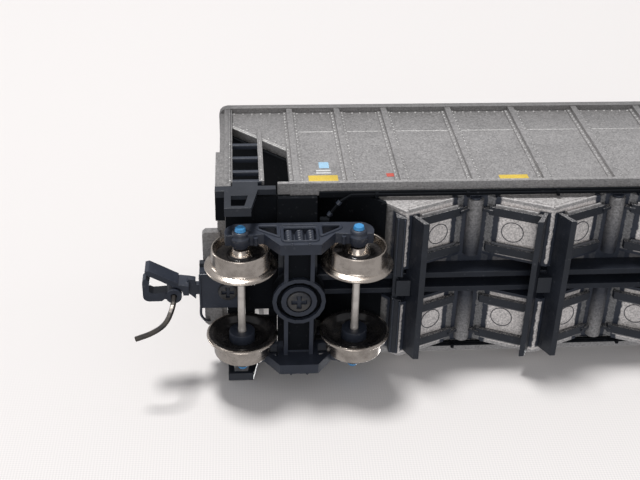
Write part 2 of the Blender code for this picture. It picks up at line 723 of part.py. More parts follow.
# ================================================================ door frames
def tilted(x, toward, base, tip, tip_z, width, base_z):
    """A plate whose section runs from its base at the seam out and down to its free edge, overrunning the base."""
    start = Vector((base, base_z))
    end = Vector((tip, tip_z))
    back = start + (start - end) * BEAM_OVERRUN
    outline = [back, end, end + Vector((width, 0)), back + Vector((FRAME_BEAM_BASE_WIDTH, 0))]
    return extruded([(x + toward * point.x, point.y) for point in outline], "Y", -FRAME_END_Y, FRAME_END_Y)


def beam(x, toward):
    """A splayed plate along the seam at x, leaning toward +X or -X away from it."""
    tip = (FRAME_BEAM_TIP, FRAME_BEAM_TIP_Z)
    return tilted(x, toward, FRAME_BEAM_BASE, *tip, FRAME_BEAM_TIP_WIDTH, door_z(FRAME_BEAM_BASE))


def slope_bar(x, toward, side):
    """The short bar under the slope sheet beside the outermost seam, on one side of the sill."""
    near, far = SLOPE_BAR
    low, rise = SLOPE_BAR_BOTTOM
    outline = [(near, low), (far, rise), (far, UNDERFRAME_TOP), (near, UNDERFRAME_TOP)]
    y = (side * SLOPE_BAR_GAP_Y, side * FRAME_END_Y)
    return extruded([(x + toward * a, z) for a, z in outline], "Y", *y)


def along_door(x, toward, near, far, depth, y):
    """A bar under a door from near to far of its seam, overrunning the door's underside."""
    outline = [(near, depth), (far, depth), (far, -BAR_OVERRUN), (near, -BAR_OVERRUN)]
    return extruded([(x + toward * a, door_z(a) - b) for a, b in outline], "Y", *y)


def door_room(x, side, slope_toward):
    """What the doors on one side of the hood take up, and the clearance under them."""
    reach = DOOR_BAR_REACH * 1.2
    top = UNDERFRAME_TOP + BAR_OVERRUN
    outline = [(x, SEAM_Z - CLEARANCE)]
    for toward in (1, -1):
        if toward == slope_toward:
            kink = slope_x(SEAM_Z, SLOPE_DROP) - SEAM_X
            edge = [(x + toward * kink, SEAM_Z - CLEARANCE), (x + toward * (kink + reach), SEAM_Z - CLEARANCE + reach)]
        else:
            edge = [(x + toward * reach, door_z(reach) - CLEARANCE)]
        edge.append((x + toward * reach, top + reach))
        outline += edge if toward > 0 else edge[::-1]
    return extruded(outline, "Y", side * (DOOR_INNER_Y - CLEARANCE), side * (FRAME_END_Y + BAR_OVERRUN))


def make_door_frame(number):
    """The black frame of one bay: two seam beams, the door stiffeners and the hanger at the centre sill."""
    x = seam_places()[number - 1]
    slope_toward = {1: -1, BAYS: 1}.get(number, 0)
    shapes = []
    start = FRAME_BEAM_BASE + FRAME_BEAM_BASE_WIDTH / 2
    for toward in (-1, 1):
        if toward == slope_toward:
            shapes += [slope_bar(x, toward, side) for side in SIDES.values()]
            continue
        shapes.append(beam(x, toward))
        for side in SIDES.values():
            for low, high in (DOOR_BAR_INNER, DOOR_BAR_OUTER):
                shapes.append(along_door(x, toward, start, DOOR_BAR_REACH, DOOR_BAR_DEPTH, (side * low, side * high)))
    cuts = [door_room(x, side, slope_toward) for side in SIDES.values()]
    if slope_toward:
        tie_x = (x - FRAME_BEAM_BASE, x + slope_toward * (SLOPE_BAR[1] - CLEARANCE))
        tie_z = (SEAM_Z + CLEARANCE, CENTRE_SILL_BOTTOM - CLEARANCE * 2)
        shapes.append(block(tie_x, (-DOOR_INNER_Y + CLEARANCE * 2, DOOR_INNER_Y - CLEARANCE * 2), tie_z))
    frame = fused("frame_blank", shapes, "black", cuts=cuts)
    bottom = SEAM_Z - FRAME_BEAM_BASE_WIDTH
    top = CENTRE_SILL_BOTTOM - CLEARANCE
    hanger = block((x - HANGER_HALF_LENGTH, x + HANGER_HALF_LENGTH), (-HANGER_Y, HANGER_Y), (bottom, top))
    ceiling = block((x - reach_of_frame(), x + reach_of_frame()), (-DOOR_INNER_Y, DOOR_INNER_Y), (top, FLOOR_TOP))
    return fused(f"door_frame_{number}", [frame, hanger], "black", cuts=[ceiling])


def reach_of_frame():
    """How far a door frame runs from its seam."""
    return DOOR_BAR_REACH + FRAME_BEAM_TIP_WIDTH


# ================================================================ underframe
def make_centre_sill():
    """The inverted channel that runs under the bays from one end frame to the other."""
    reach = TRUCK_X - BOLSTER_LENGTH / 2 - CLEARANCE
    inner = CENTRE_SILL_Y - CENTRE_SILL_FLANGE
    web = UNDERFRAME_TOP - CENTRE_SILL_WEB
    outline = [
        (-CENTRE_SILL_Y, CENTRE_SILL_BOTTOM),
        (-inner, CENTRE_SILL_BOTTOM),
        (-inner, web),
        (inner, web),
        (inner, CENTRE_SILL_BOTTOM),
        (CENTRE_SILL_Y, CENTRE_SILL_BOTTOM),
        (CENTRE_SILL_Y, UNDERFRAME_TOP),
        (-CENTRE_SILL_Y, UNDERFRAME_TOP),
    ]
    return fused("centre_sill", [extruded(outline, "X", -reach, reach)], "black")


def stirrup(end, side):
    """A corner step: a tapered loop under the side strip, with a tread deeper than its legs."""
    outer = at(end, -STIRRUP_OUTER)
    top = SIDE_STRIP_BOTTOM + CLEARANCE
    bottom = STIRRUP_BOTTOM
    sign = ENDS[end]
    leg = sign * STIRRUP_LEG
    y = (side * (SIDE_STRIP_Y - STIRRUP_DEPTH / 2), side * SIDE_STRIP_Y)
    outside = [
        (outer, top),
        (outer, bottom),
        (at(end, -STIRRUP_TREAD_INNER), bottom),
        (at(end, -STIRRUP_INNER), top),
    ]
    inside = [
        (outer - leg, STIRRUP_HOLE_TOP),
        (outer - leg, bottom + STIRRUP_BAR),
        (at(end, -STIRRUP_TREAD_INNER) + leg, bottom + STIRRUP_BAR),
        (at(end, -(STIRRUP_INNER + STIRRUP_TREAD_INNER) / 2) + leg, STIRRUP_HOLE_TOP),
    ]
    loop = extruded(outside, "Y", *y)
    hole = extruded(inside, "Y", side * (SIDE_STRIP_Y - STIRRUP_DEPTH * 2), side * (SIDE_STRIP_Y + STIRRUP_DEPTH))
    tread = block(
        (outer, at(end, -STIRRUP_TREAD_INNER)),
        (side * (SIDE_STRIP_Y - STIRRUP_DEPTH), side * SIDE_STRIP_Y),
        (bottom, bottom + STIRRUP_BAR * 0.8),
    )
    return loop, hole, tread


def end_frame_side(end, side):
    """The strip below one side of the end platform, with the ladder's foot and the corner sill."""
    sign = ENDS[end]
    strip_y = (side * (SIDE_STRIP_Y - SIDE_STRIP_DEPTH), side * SIDE_STRIP_Y)
    corner = at(end, -END_PANEL - CORNER_POST_LAP)
    strip_x = (at(end, -SIDE_STRIP_INNER), corner + sign * CLEARANCE)
    foot_x = (at(end, -STIRRUP_INNER), at(end, -END_PANEL) - sign * (POST_WIDTH / 2 + CLEARANCE))
    foot_y = (side * (SHEET_Y + CLEARANCE), side * SIDE_STRIP_Y)
    corner_x = (corner - sign * END_SILL_WIDTH, corner + sign * CORNER_SILL_LENGTH)
    corner_y = (side * (END_SILL_Y + CLEARANCE), side * SIDE_STRIP_Y)
    top = SHELL_BOTTOM - CLEARANCE
    return [
        block(strip_x, strip_y, (SIDE_STRIP_BOTTOM, top)),
        block(foot_x, foot_y, (SIDE_STRIP_BOTTOM, LADDER_FOOT_TOP)),
        block(corner_x, corner_y, (CORNER_SILL_BOTTOM, top)),
    ]


def make_end_frame(end):
    """Bolster, pivot boss, draft pocket, end platform, slope liner and the two corner steps of one end."""
    sign = ENDS[end]
    pivot = at(end, 0)
    half = BOLSTER_LENGTH / 2
    profile = [
        (-BOLSTER_Y, UNDERFRAME_TOP),
        (-BOLSTER_Y, UNDERFRAME_TOP - BOLSTER_TIP_DEPTH),
        (-BOLSTER_FLAT_Y, BOLSTER_BOTTOM),
        (BOLSTER_FLAT_Y, BOLSTER_BOTTOM),
        (BOLSTER_Y, UNDERFRAME_TOP - BOLSTER_TIP_DEPTH),
        (BOLSTER_Y, UNDERFRAME_TOP),
    ]
    shapes = [extruded(profile, "X", pivot - half, pivot + half)]
    low = TRUCK_BOLSTER_Z[1] + RUNNING_CLEARANCE
    high = BOLSTER_BOTTOM + CLEARANCE
    boss = [(0, low), (PIVOT_BOSS_RADIUS, low), (PIVOT_BOSS_RADIUS, high), (0, high)]
    shapes.append(turned(boss, "Z", (pivot, 0, 0)))
    front = WALKWAY_Z[0] - CLEARANCE
    neck = at(end, -END_PANEL - CORNER_POST_LAP) - sign * (END_SILL_WIDTH + CLEARANCE)
    shapes.append(block((pivot, neck), (-POCKET_Y, POCKET_Y), (POCKET_BOTTOM, END_SILL_BOTTOM - CLEARANCE)))
    shapes.append(block((pivot, at(end, -BOX_END)), (-POCKET_Y, POCKET_Y), (POCKET_BOTTOM, front)))
    platform_end = at(end, -END_PANEL - CORNER_POST_LAP) - sign * (END_SILL_WIDTH + CLEARANCE)
    platform_z = (PLATFORM_BOTTOM, UNDERFRAME_TOP)
    shapes.append(block((at(end, -PLATFORM_INNER), platform_end), (-PLATFORM_Y, PLATFORM_Y), platform_z))
    shapes.append(block((pivot, at(end, -PLATFORM_INNER) + sign * CLEARANCE), (-POCKET_Y, POCKET_Y), platform_z))
    ceiling = SLOPE_DROP + CLEARANCE / math.cos(SLOPE_ANGLE)
    deep = ceiling + LINER_THICKNESS / math.cos(SLOPE_ANGLE)
    low = TRUCK_X - LINER_INNER
    high = TRUCK_X + LINER_OUTER
    liner = [(low, slope_z(low, ceiling)), (high, slope_z(high, ceiling)), (high, slope_z(high, deep)), (low, slope_z(low, deep))]
    shapes.append(extruded([(sign * x, z) for x, z in liner], "Y", -LINER_Y, LINER_Y))
    thick = BULKHEAD_THICKNESS / 2
    middle_drop = (ceiling + deep) / 2
    wall = [
        (TRUCK_X - thick, UNDERFRAME_TOP - CLEARANCE),
        (TRUCK_X + thick, UNDERFRAME_TOP - CLEARANCE),
        (TRUCK_X + thick, slope_z(TRUCK_X + thick, middle_drop)),
        (TRUCK_X - thick, slope_z(TRUCK_X - thick, middle_drop)),
    ]
    shapes.append(extruded([(sign * x, z) for x, z in wall], "Y", -LINER_Y, LINER_Y))
    sill = CENTRE_SILL_Y + CLEARANCE
    cuts = [block((at(end, half + CLEARANCE), 0), (-sill, sill), (0, UNDERFRAME_TOP + CLEARANCE))]
    for side in SIDES.values():
        shapes += end_frame_side(end, side)
        loop, hole, tread = stirrup(end, side)
        shapes += [loop, tread]
        cuts.append(hole)
    screw_hole = TRUCK_SCREW_RADIUS + CLEARANCE
    cuts.append(turned([(0, 0), (screw_hole, 0), (screw_hole, TRUCK_SCREW_TIP + CLEARANCE), (0, TRUCK_SCREW_TIP + CLEARANCE)], "Z", (pivot, 0, 0), 16))
    box_hole = BOX_SCREW_RADIUS + CLEARANCE
    top = front - CLEARANCE * 4
    cuts.append(turned([(0, 0), (box_hole, 0), (box_hole, top), (0, top)], "Z", (at(end, -COUPLER_PIVOT), 0, 0), 16))
    return fused(f"end_frame_{end}", shapes, "black", cuts=cuts)


def make_side_ladder(end, side_name):
    """The ladder beside the corner post, which serves as its second stile: one stile and the rungs."""
    side = SIDES[side_name]
    sign = ENDS[end]
    near = at(end, -END_PANEL) - sign * (POST_WIDTH / 2 + CLEARANCE)
    far = near - sign * (LADDER_STILE_GAP - LADDER_STILE_WIDTH)
    y = (side * (POST_Y - LADDER_DEPTH), side * POST_Y)
    stile_y = (side * (POST_Y - LADDER_DEPTH * 1.5), side * (POST_Y + LADDER_DEPTH * 0.3))
    bottom = LADDER_FOOT_TOP + CLEARANCE
    shapes = [block((far, far - sign * LADDER_STILE_WIDTH), stile_y, (bottom, LADDER_TOP))]
    for z in LADDER_RUNG_Z:
        shapes.append(block((near, far - sign * LADDER_STILE_WIDTH / 2), y, (z, z + LADDER_BAR)))
    return fused(f"ladder_{end}_{side_name}", shapes, "silver")


def make_pipe_rail(side_name):
    """A rail under the sill's inner edge with the air pipe clamped below it."""
    side = SIDES[side_name]
    reach = TRUCK_X - BOLSTER_LENGTH / 2 - CLEARANCE * 4
    rail = block((-reach, reach), (side * RAIL_Y[0], side * RAIL_Y[1]), (RAIL_BOTTOM, FLOOR_UNDERSIDE - CLEARANCE))
    pipe_z = RAIL_BOTTOM - PIPE_RADIUS * 0.6
    start = at("a", PIPE_DROP_X)
    inboard, fitting_y, fitting_z = PIPE_FITTING
    drop = Vector((at("a", inboard), side * fitting_y, fitting_z))
    route = [
        Vector((reach, side * PIPE_Y, pipe_z)),
        Vector((start + PIPE_DROP_X / 2, side * PIPE_Y, pipe_z)),
        Vector((start, side * PIPE_Y, pipe_z)),
        drop,
    ]
    bend = smooth_path(route[1:], 1)
    shapes = [rail, rod([route[0], *bend], PIPE_RADIUS)]
    fitting = [(0, -FITTING_LENGTH / 2), (FITTING_RADIUS, -FITTING_LENGTH / 2), (FITTING_RADIUS, FITTING_LENGTH / 2), (0, FITTING_LENGTH / 2)]
    shapes.append(turned(fitting, "X", drop, 8))
    clamps = int(2 * reach / CLAMP_PITCH)
    first = start + (at("a", 2 * SHORT_PANEL) - start) / 2
    for i in range(clamps):
        x = first + CLAMP_PITCH * i
        if x > reach:
            continue
        z = (RAIL_BOTTOM - CLAMP_DEPTH, RAIL_BOTTOM + CLEARANCE)
        shapes.append(block((x, x + CLAMP_LENGTH), (side * (PIPE_Y - PIPE_RADIUS * 1.6), side * (PIPE_Y + PIPE_RADIUS * 1.4)), z))
    return fused(f"pipe_rail_{side_name}", shapes, "black")


# ================================================================ trucks
def rounded_loop(corners, radius, steps=2):
    """A closed outline with each corner replaced by a curve that starts and ends this far from it."""
    points = [Vector(corner) for corner in corners]
    loop = []
    for i, here in enumerate(points):
        before = points[i - 1]
        after = points[(i + 1) % len(points)]
        start = here.lerp(before, min(0.45, radius / (before - here).length))
        end = here.lerp(after, min(0.45, radius / (after - here).length))
        for j in range(steps + 1):
            t = j / steps
            loop.append(start * (1 - t) ** 2 + here * 2 * t * (1 - t) + end * t**2)
    return loop


def side_frame_neck():
    """Where the lower chord meets the pedestal, as (distance from the pivot, height)."""
    return WHEELBASE / 2 - PEDESTAL_HALF_WIDTH - PEDESTAL_NECK, FLANGE_RADIUS - PEDESTAL_DROP / 2


def side_frame_outline():
    """One half of a side frame's outline, from the middle of its top round the pedestal to its lower chord."""
    axle = WHEELBASE / 2
    height = FLANGE_RADIUS
    low = height - PEDESTAL_DROP
    neck = side_frame_neck()
    return [
        (0, SIDE_FRAME_TOP),
        (axle - PEDESTAL_RADIUS, SIDE_FRAME_TOP),
        *arc((axle, SIDE_FRAME_TOP - PEDESTAL_RADIUS), PEDESTAL_RADIUS, 72, 0, 4),
        (axle + PEDESTAL_HALF_WIDTH + PEDESTAL_TAPER, low),
        (axle - PEDESTAL_HALF_WIDTH, low),
        neck,
        (CHORD_FLAT, SIDE_FRAME_BOTTOM),
    ]


def side_window(sign):
    """The three-cornered window beside the spring opening, with its rounded corners."""
    far = WHEELBASE / 2 - WINDOW_TO_AXLE
    neck_x, neck_z = side_frame_neck()
    edge = neck_z + WINDOW_WALL
    corners = [
        (WINDOW_INNER, WINDOW_TOP),
        (far, WINDOW_TOP),
        (far, edge + (far - neck_x) * WINDOW_RISE),
        (WINDOW_INNER, edge - (neck_x - WINDOW_INNER) * WINDOW_RISE),
    ]
    return rounded_loop([(sign * x, z) for x, z in corners], WINDOW_CORNER)


def widened(loop, border):
    """The outline moved out from its middle until it stands off by about this much."""
    middle = sum(loop, Vector((0, 0))) / len(loop)
    reach = sum((point - middle).length for point in loop) / len(loop)
    return [middle + (point - middle) * (1 + border / reach) for point in loop]


def side_frame(pivot, side):
    """One cast side frame, with its windows and its spring opening cut."""
    inner, face = SIDE_FRAME_Y
    half = side_frame_outline()
    outline = [(pivot + x, z) for x, z in half] + [(pivot - x, z) for x, z in reversed(half[1:])]
    shapes = [extruded(outline, "Y", side * inner, side * face)]
    through = (side * (inner - WINDOW_LIP), side * (face + WINDOW_LIP_DEPTH * 2))
    cuts = []
    for sign in (-1, 1):
        window = side_window(sign)
        moved = [(pivot + point.x, point.y) for point in window]
        lip = [(pivot + point.x, point.y) for point in widened(window, WINDOW_LIP)]
        shapes.append(extruded(lip, "Y", side * (face - WINDOW_LIP_DEPTH), side * (face + WINDOW_LIP_DEPTH)))
        cuts.append(extruded(moved, "Y", *through))
    opening_y = (side * (inner + face) / 2, through[1])
    cuts.append(block((pivot - SPRING_WINDOW, pivot + SPRING_WINDOW), opening_y, (SPRING_WINDOW_BOTTOM, SPRING_WINDOW_TOP)))
    return fused("side_frame", shapes, "black", cuts=cuts)


def bearing(axle, side):
    """The round bearing that shows under a pedestal, with a smaller face for its cap."""
    inner, face = SIDE_FRAME_Y
    face += BEARING_DEPTH
    chamfer = BEARING_DEPTH * 0.4
    rim = BEARING_RADIUS - chamfer
    section = [(0, inner - BEARING_INNER), (BEARING_RADIUS, inner - BEARING_INNER), (BEARING_RADIUS, face - chamfer), (rim, face), (0, face)]
    return turned([(r, side * d) for r, d in section], "Y", (axle, 0, FLANGE_RADIUS), 14)


def make_truck_frame(end):
    """The one-piece truck moulding: two side frames, the bolster between them and the pivot ring."""
    pivot = at(end, 0)
    shapes = []
    for side in SIDES.values():
        shapes.append(side_frame(pivot, side))
        for i in range(SPRING_COLUMNS):
            x = pivot + (i - (SPRING_COLUMNS - 1) / 2) * SPRING_RADIUS * 2.3
            spring = [(0, SPRING_WINDOW_BOTTOM - CLEARANCE), (SPRING_RADIUS, SPRING_WINDOW_BOTTOM - CLEARANCE)]
            spring += [(SPRING_RADIUS, SPRING_WINDOW_TOP + CLEARANCE), (0, SPRING_WINDOW_TOP + CLEARANCE)]
            shapes.append(turned(spring, "Z", (x, side * (SIDE_FRAME_Y[1] - SPRING_RADIUS - CLEARANCE), 0), 6))
        shapes += [bearing(pivot + sign * WHEELBASE / 2, side) for sign in (-1, 1)]
    reach = SIDE_FRAME_Y[0] + CLEARANCE
    shapes.append(block((pivot - TRUCK_BOLSTER_X, pivot + TRUCK_BOLSTER_X), (-reach, reach), TRUCK_BOLSTER_Z))
    for sign in (-1, 1):
        x = (pivot + sign * TRUCK_BOLSTER_X, pivot + sign * (TRUCK_BOLSTER_X - BOLSTER_RIB))
        shapes.append(block(x, (-reach, reach), (RING_BOTTOM + CLEARANCE, TRUCK_BOLSTER_Z[1] - CLEARANCE)))
    ring = [(0, RING_BOTTOM), (RING_RADIUS, RING_BOTTOM), (RING_RADIUS, TRUCK_BOLSTER_Z[1] - CLEARANCE * 2), (0, TRUCK_BOLSTER_Z[1] - CLEARANCE * 2)]
    shapes.append(turned(ring, "Z", (pivot, 0, 0)))
    groove_inner = BOSS_RADIUS
    groove_outer = RING_RADIUS - RING_WALL
    groove = [(groove_inner, RING_BOTTOM - CLEARANCE), (groove_outer, RING_BOTTOM - CLEARANCE), (groove_outer, RING_FLOOR), (groove_inner, RING_FLOOR)]
    carve = [turned(groove, "Z", (pivot, 0, 0))]
    face = BOSS_BOTTOM
    head = TRUCK_SCREW_HEAD_RADIUS + RUNNING_CLEARANCE
    shaft = TRUCK_SCREW_RADIUS + RUNNING_CLEARANCE
    seat = face + TRUCK_SCREW_RECESS
    bore = [(0, 0), (head, 0), (head, seat), (shaft, seat), (shaft, SIDE_FRAME_TOP), (0, SIDE_FRAME_TOP)]
    carve.append(turned(bore, "Z", (pivot, 0, 0), 16))
    for side in SIDES.values():
        for sign in (-1, 1):
            axle = pivot + sign * WHEELBASE / 2
            wide = AXLE_RADIUS + RUNNING_CLEARANCE
            mouth = SIDE_FRAME_Y[0] - BEARING_INNER - CLEARANCE
            cone = [(0, mouth), (wide, mouth), (wide, AXLE_SHOULDER + RUNNING_CLEARANCE)]
            cone += [(RUNNING_CLEARANCE, AXLE_HALF_LENGTH + RUNNING_CLEARANCE), (0, AXLE_HALF_LENGTH + RUNNING_CLEARANCE)]
            carve.append(turned([(r, side * d) for r, d in cone], "Y", (axle, 0, FLANGE_RADIUS), 6))
    return fused(f"truck_frame_{end}", shapes, "black", cuts=carve, origin=(pivot, 0, SIDE_FRAME_TOP))


def make_bearing_cap(end, number, side_name):
    """The coloured end cap of one roller bearing."""
    side = SIDES[side_name]
    x = axle_x(end, number)
    face = SIDE_FRAME_Y[1] + BEARING_DEPTH + CLEARANCE
    profile = [(0, face), (CAP_RADIUS, face), (CAP_RADIUS * 0.85, face + CAP_THICKNESS), (0, face + CAP_THICKNESS)]
    cap = turned([(r, side * d) for r, d in profile], "Y", (x, 0, FLANGE_RADIUS), 10)
    return fused(f"bearing_cap_{end}{number}_{side_name}", [cap], "blue")


def axle_x(end, number):
    """X of an axle: number 1 is the outboard one."""
    outboard = WHEELBASE / 2 if number == 1 else -WHEELBASE / 2
    return at(end, -outboard)


def make_axle(end, number):
    """A pointed steel axle."""
    shoulder = AXLE_SHOULDER
    half = [(AXLE_RADIUS, shoulder), (0, AXLE_HALF_LENGTH)]
    profile = [(0, -AXLE_HALF_LENGTH), (AXLE_RADIUS, -shoulder), *half]
    centre = (axle_x(end, number), 0, FLANGE_RADIUS)
    return fused(f"axle_{end}{number}", [turned(profile, "Y", centre, 16)], "nickel", origin=centre)


def wheel_profile(bore):
    """Half section of a wheel as (radius, distance from its inner face) points, dished on both faces."""
    outer_web = WHEEL_WIDTH * WEB_PLACE
    inner_web = outer_web - WEB_THICKNESS
    rim = [
        (RIM_INNER_RADIUS, inner_web),
        (FLANGE_RADIUS - FLANGE_WIDTH, 0.0),
        (FLANGE_RADIUS - FLANGE_WIDTH * 0.25, 0.0),
        (FLANGE_RADIUS, FLANGE_WIDTH * 0.4),
        (TREAD_RADIUS, FLANGE_WIDTH),
        (TREAD_RADIUS - TREAD_TAPER, WHEEL_WIDTH),
        (RIM_INNER_RADIUS, WHEEL_WIDTH),
        (RIM_INNER_RADIUS - TREAD_TAPER, outer_web),
    ]
    if bore > HUB_RADIUS:
        return [(bore, inner_web), *rim, (bore, outer_web)]
    hub = [(HUB_RADIUS * 1.15, outer_web), (HUB_RADIUS * 0.75, WHEEL_WIDTH), (bore, WHEEL_WIDTH)]
    return [(bore, 0.0), (HUB_RADIUS * 1.2, 0.0), (HUB_RADIUS * 1.2, inner_web), *rim, *hub]


def make_wheel(end, number, side_name):
    """One turned wheel. The left one has a wide bore for its insulating bush."""
    side = SIDES[side_name]
    bore = (BUSH_RADIUS if side_name == "left" else AXLE_RADIUS) + CLEARANCE
    centre = (axle_x(end, number), 0, FLANGE_RADIUS)
    shape = turned([(r, side * (BACK_TO_BACK / 2 + d)) for r, d in wheel_profile(bore)], "Y", centre)
    return fused(f"wheel_{end}{number}_{side_name}", [shape], "nickel", origin=centre)


def make_bush(end, number):
    """The insulating bush that carries the left wheel."""
    bore = AXLE_RADIUS + CLEARANCE
    inner = BACK_TO_BACK / 2 - BUSH_FLANGE
    outer = BACK_TO_BACK / 2 + WHEEL_WIDTH * 0.95
    web = BACK_TO_BACK / 2 + WHEEL_WIDTH * WEB_PLACE - WEB_THICKNESS
    profile = [
        (bore, inner),
        (BUSH_RADIUS, inner),
        (BUSH_RADIUS, web + WEB_THICKNESS),
        (HUB_RADIUS * 0.8, outer),
        (bore, outer),
    ]
    centre = (axle_x(end, number), 0, FLANGE_RADIUS)
    return fused(f"axle_bush_{end}{number}", [turned(profile, "Y", centre, 12)], "black", origin=centre)


def screw_shape(centre, head_radius, head_height, radius, tip):
    """A pan-head screw driven upward, its head's face at the centre's height."""
    profile = [
        (0, 0),
        (head_radius * 0.85, 0),
        (head_radius, head_height * 0.4),
        (head_radius, head_height),
        (radius, head_height),
        (radius, tip - centre[2] - radius),
        (0, tip - centre[2]),
    ]
    return turned(profile, "Z", centre, 12)


def cross_recess(centre, radius, depth):
    """Two slots that make the driver's cross in a screw head."""
    x, y, z = centre
    arm = radius * 0.62
    half = radius * 0.14
    return [
        block((x - arm, x + arm), (y - half, y + half), (z - depth, z + depth)),
        block((x - half, x + half), (y - arm, y + arm), (z - depth, z + depth)),
    ]


def make_truck_screw(end):
    """The screw on which a truck swivels."""
    head_face = BOSS_BOTTOM + TRUCK_SCREW_RECESS - TRUCK_SCREW_HEAD_HEIGHT - CLEARANCE
    centre = (at(end, 0), 0, head_face)
    shape = screw_shape(centre, TRUCK_SCREW_HEAD_RADIUS, TRUCK_SCREW_HEAD_HEIGHT, TRUCK_SCREW_RADIUS, TRUCK_SCREW_TIP)
    cross = cross_recess(centre, TRUCK_SCREW_HEAD_RADIUS, TRUCK_SCREW_HEAD_HEIGHT * 0.6)
    return fused(f"truck_screw_{end}", [shape], "black", cuts=cross, origin=centre)


# ================================================================ couplers
def spot(end, outboard, y):
    """World X and Y of a coupler point given outboard of the truck's pivot. End b is end a turned round."""
    sign = ENDS[end]
    return sign * (TRUCK_X + outboard), -sign * y


def make_coupler_box(end):
    """The upper shell of the draft box: a roof and three walls round the coupler's eye."""
    outer = block((at(end, -BOX_END), at(end, -BOX_INNER)), (-BOX_Y, BOX_Y), (BOX_BOTTOM + LID_THICKNESS + CLEARANCE, POCKET_BOTTOM - CLEARANCE))
    sign = ENDS[end]
    hollow = block(
        (at(end, -BOX_END) + sign * BOX_WALL, at(end, -BOX_INNER) + sign * BOX_WALL),
        (-BOX_Y + BOX_WALL, BOX_Y - BOX_WALL),
        (0, SHANK_Z[1] + RUNNING_CLEARANCE),
    )
    blank = fused("box_blank", [outer], "black", cuts=[hollow])
    pivot = (at(end, -COUPLER_PIVOT), 0, 0)
    low = BOX_BOTTOM + LID_THICKNESS + CLEARANCE
    high = SHANK_Z[1] + RUNNING_CLEARANCE * 2
    post_shape = turned([(0, low), (COUPLER_POST_RADIUS, low), (COUPLER_POST_RADIUS, high), (0, high)], "Z", pivot, 16)
    hole = BOX_SCREW_RADIUS + CLEARANCE
    bore = turned([(0, 0), (hole, 0), (hole, POCKET_BOTTOM * 2), (0, POCKET_BOTTOM * 2)], "Z", pivot, 16)
    return fused(f"coupler_box_{end}", [blank, post_shape], "black", cuts=[bore])


def make_coupler_lid(end):
    """The flat lid that closes the draft box from below."""
    lid = block((at(end, -BOX_END), at(end, -BOX_INNER)), (-BOX_Y, BOX_Y), (BOX_BOTTOM, BOX_BOTTOM + LID_THICKNESS))
    hole = BOX_SCREW_RADIUS + CLEARANCE
    pivot = (at(end, -COUPLER_PIVOT), 0, 0)
    bore = turned([(0, 0), (hole, 0), (hole, POCKET_BOTTOM), (0, POCKET_BOTTOM)], "Z", pivot, 16)
    return fused(f"coupler_lid_{end}", [lid], "black", cuts=[bore])


def make_coupler_screw(end):
    """The screw that holds the draft box up to the end frame."""
    centre = (at(end, -COUPLER_PIVOT), 0, BOX_BOTTOM - CLEARANCE - BOX_SCREW_HEAD_HEIGHT)
    tip = WALKWAY_Z[0] - CLEARANCE * 7
    shape = screw_shape(centre, BOX_SCREW_HEAD_RADIUS, BOX_SCREW_HEAD_HEIGHT, BOX_SCREW_RADIUS, tip)
    cross = cross_recess(centre, BOX_SCREW_HEAD_RADIUS, BOX_SCREW_HEAD_HEIGHT * 0.6)
    return fused(f"coupler_screw_{end}", [shape], "black", cuts=cross, origin=centre)


def make_coupler(end):
    """Shank with its eye on the box post, a flare outside the box, and the head with its guard arm."""
    shift = SHANK_SHIFT
    half = SHANK_WIDTH / 2
    flare = SHANK_FLARE_WIDTH / 2
    start = SHANK_FLARE_START
    outline = arc((COUPLER_PIVOT, 0), SHANK_EYE_RADIUS, 40, 320, 12)
    outline += [
        (start, -half),
        (start, -flare),
        (start + SHANK_FLARE_LENGTH, shift - flare * 0.8),
        (start + SHANK_FLARE_LENGTH * 1.5, shift - half),
        (SHANK_END, shift - half),
        (SHANK_END, shift + half),
        (start + SHANK_FLARE_LENGTH * 1.5, shift + half),
        (start + SHANK_FLARE_LENGTH, shift + flare * 0.8),
        (start, flare),
        (start, half),
    ]
    shank = extruded([spot(end, *point) for point in outline], "Z", *SHANK_Z)
    tip = Vector(GUARD_ARM_TIP)
    root = Vector(GUARD_ARM_ROOT)
    along = (tip - root).normalized()
    across = Vector((-along.y, along.x)) * GUARD_ARM_THICKNESS
    if across.y < 0:
        across = -across
    arm = [root, tip - along * GUARD_ARM_THICKNESS / 2, tip + across / 2, tip + across - along * GUARD_ARM_THICKNESS / 2, root + across]
    guard = extruded([spot(end, *point) for point in arm], "Z", *HEAD_Z)
    gap = KNUCKLE_BOSS_RADIUS + RUNNING_CLEARANCE
    head = [
        (SHANK_END - SHANK_WIDTH * 0.6, shift - half),
        (root.x + 0.0004, root.y + 0.0001),
        (root.x + 0.0007, root.y + across.y * 1.2),
        (root.x + 0.0004, shift + half),
        (SHANK_END - SHANK_WIDTH * 0.6, shift + half),
    ]
    neck = extruded([spot(end, *point) for point in head], "Z", *HEAD_Z)
    ears = []
    x, y = KNUCKLE_PIVOT
    ear = arc((x, y), KNUCKLE_BOSS_RADIUS, -90, 90, 10) + [(SHANK_END - SHANK_WIDTH * 0.4, shift + half), (SHANK_END - SHANK_WIDTH * 0.4, shift - half)]
    ears.append(extruded([spot(end, *point) for point in ear], "Z", HEAD_Z[1] - 0.0005, HEAD_Z[1]))
    room = [(0, 0), (gap, 0), (gap, HEAD_Z[1] - 0.0005), (0, HEAD_Z[1] - 0.0005)]
    px, py = spot(end, x, y)
    carve = turned(room, "Z", (px, py, 0), 24)
    cx, cy = spot(end, COUPLER_PIVOT, 0)
    hole = COUPLER_POST_RADIUS + RUNNING_CLEARANCE
    bore = turned([(0, 0), (hole, 0), (hole, 1e-2), (0, 1e-2)], "Z", (cx, cy, 0), 16)
    origin = (cx, cy, SHANK_Z[0])
    return fused(f"coupler_{end}", [shank, neck, guard, *ears], "black", cuts=[carve, bore], origin=origin)


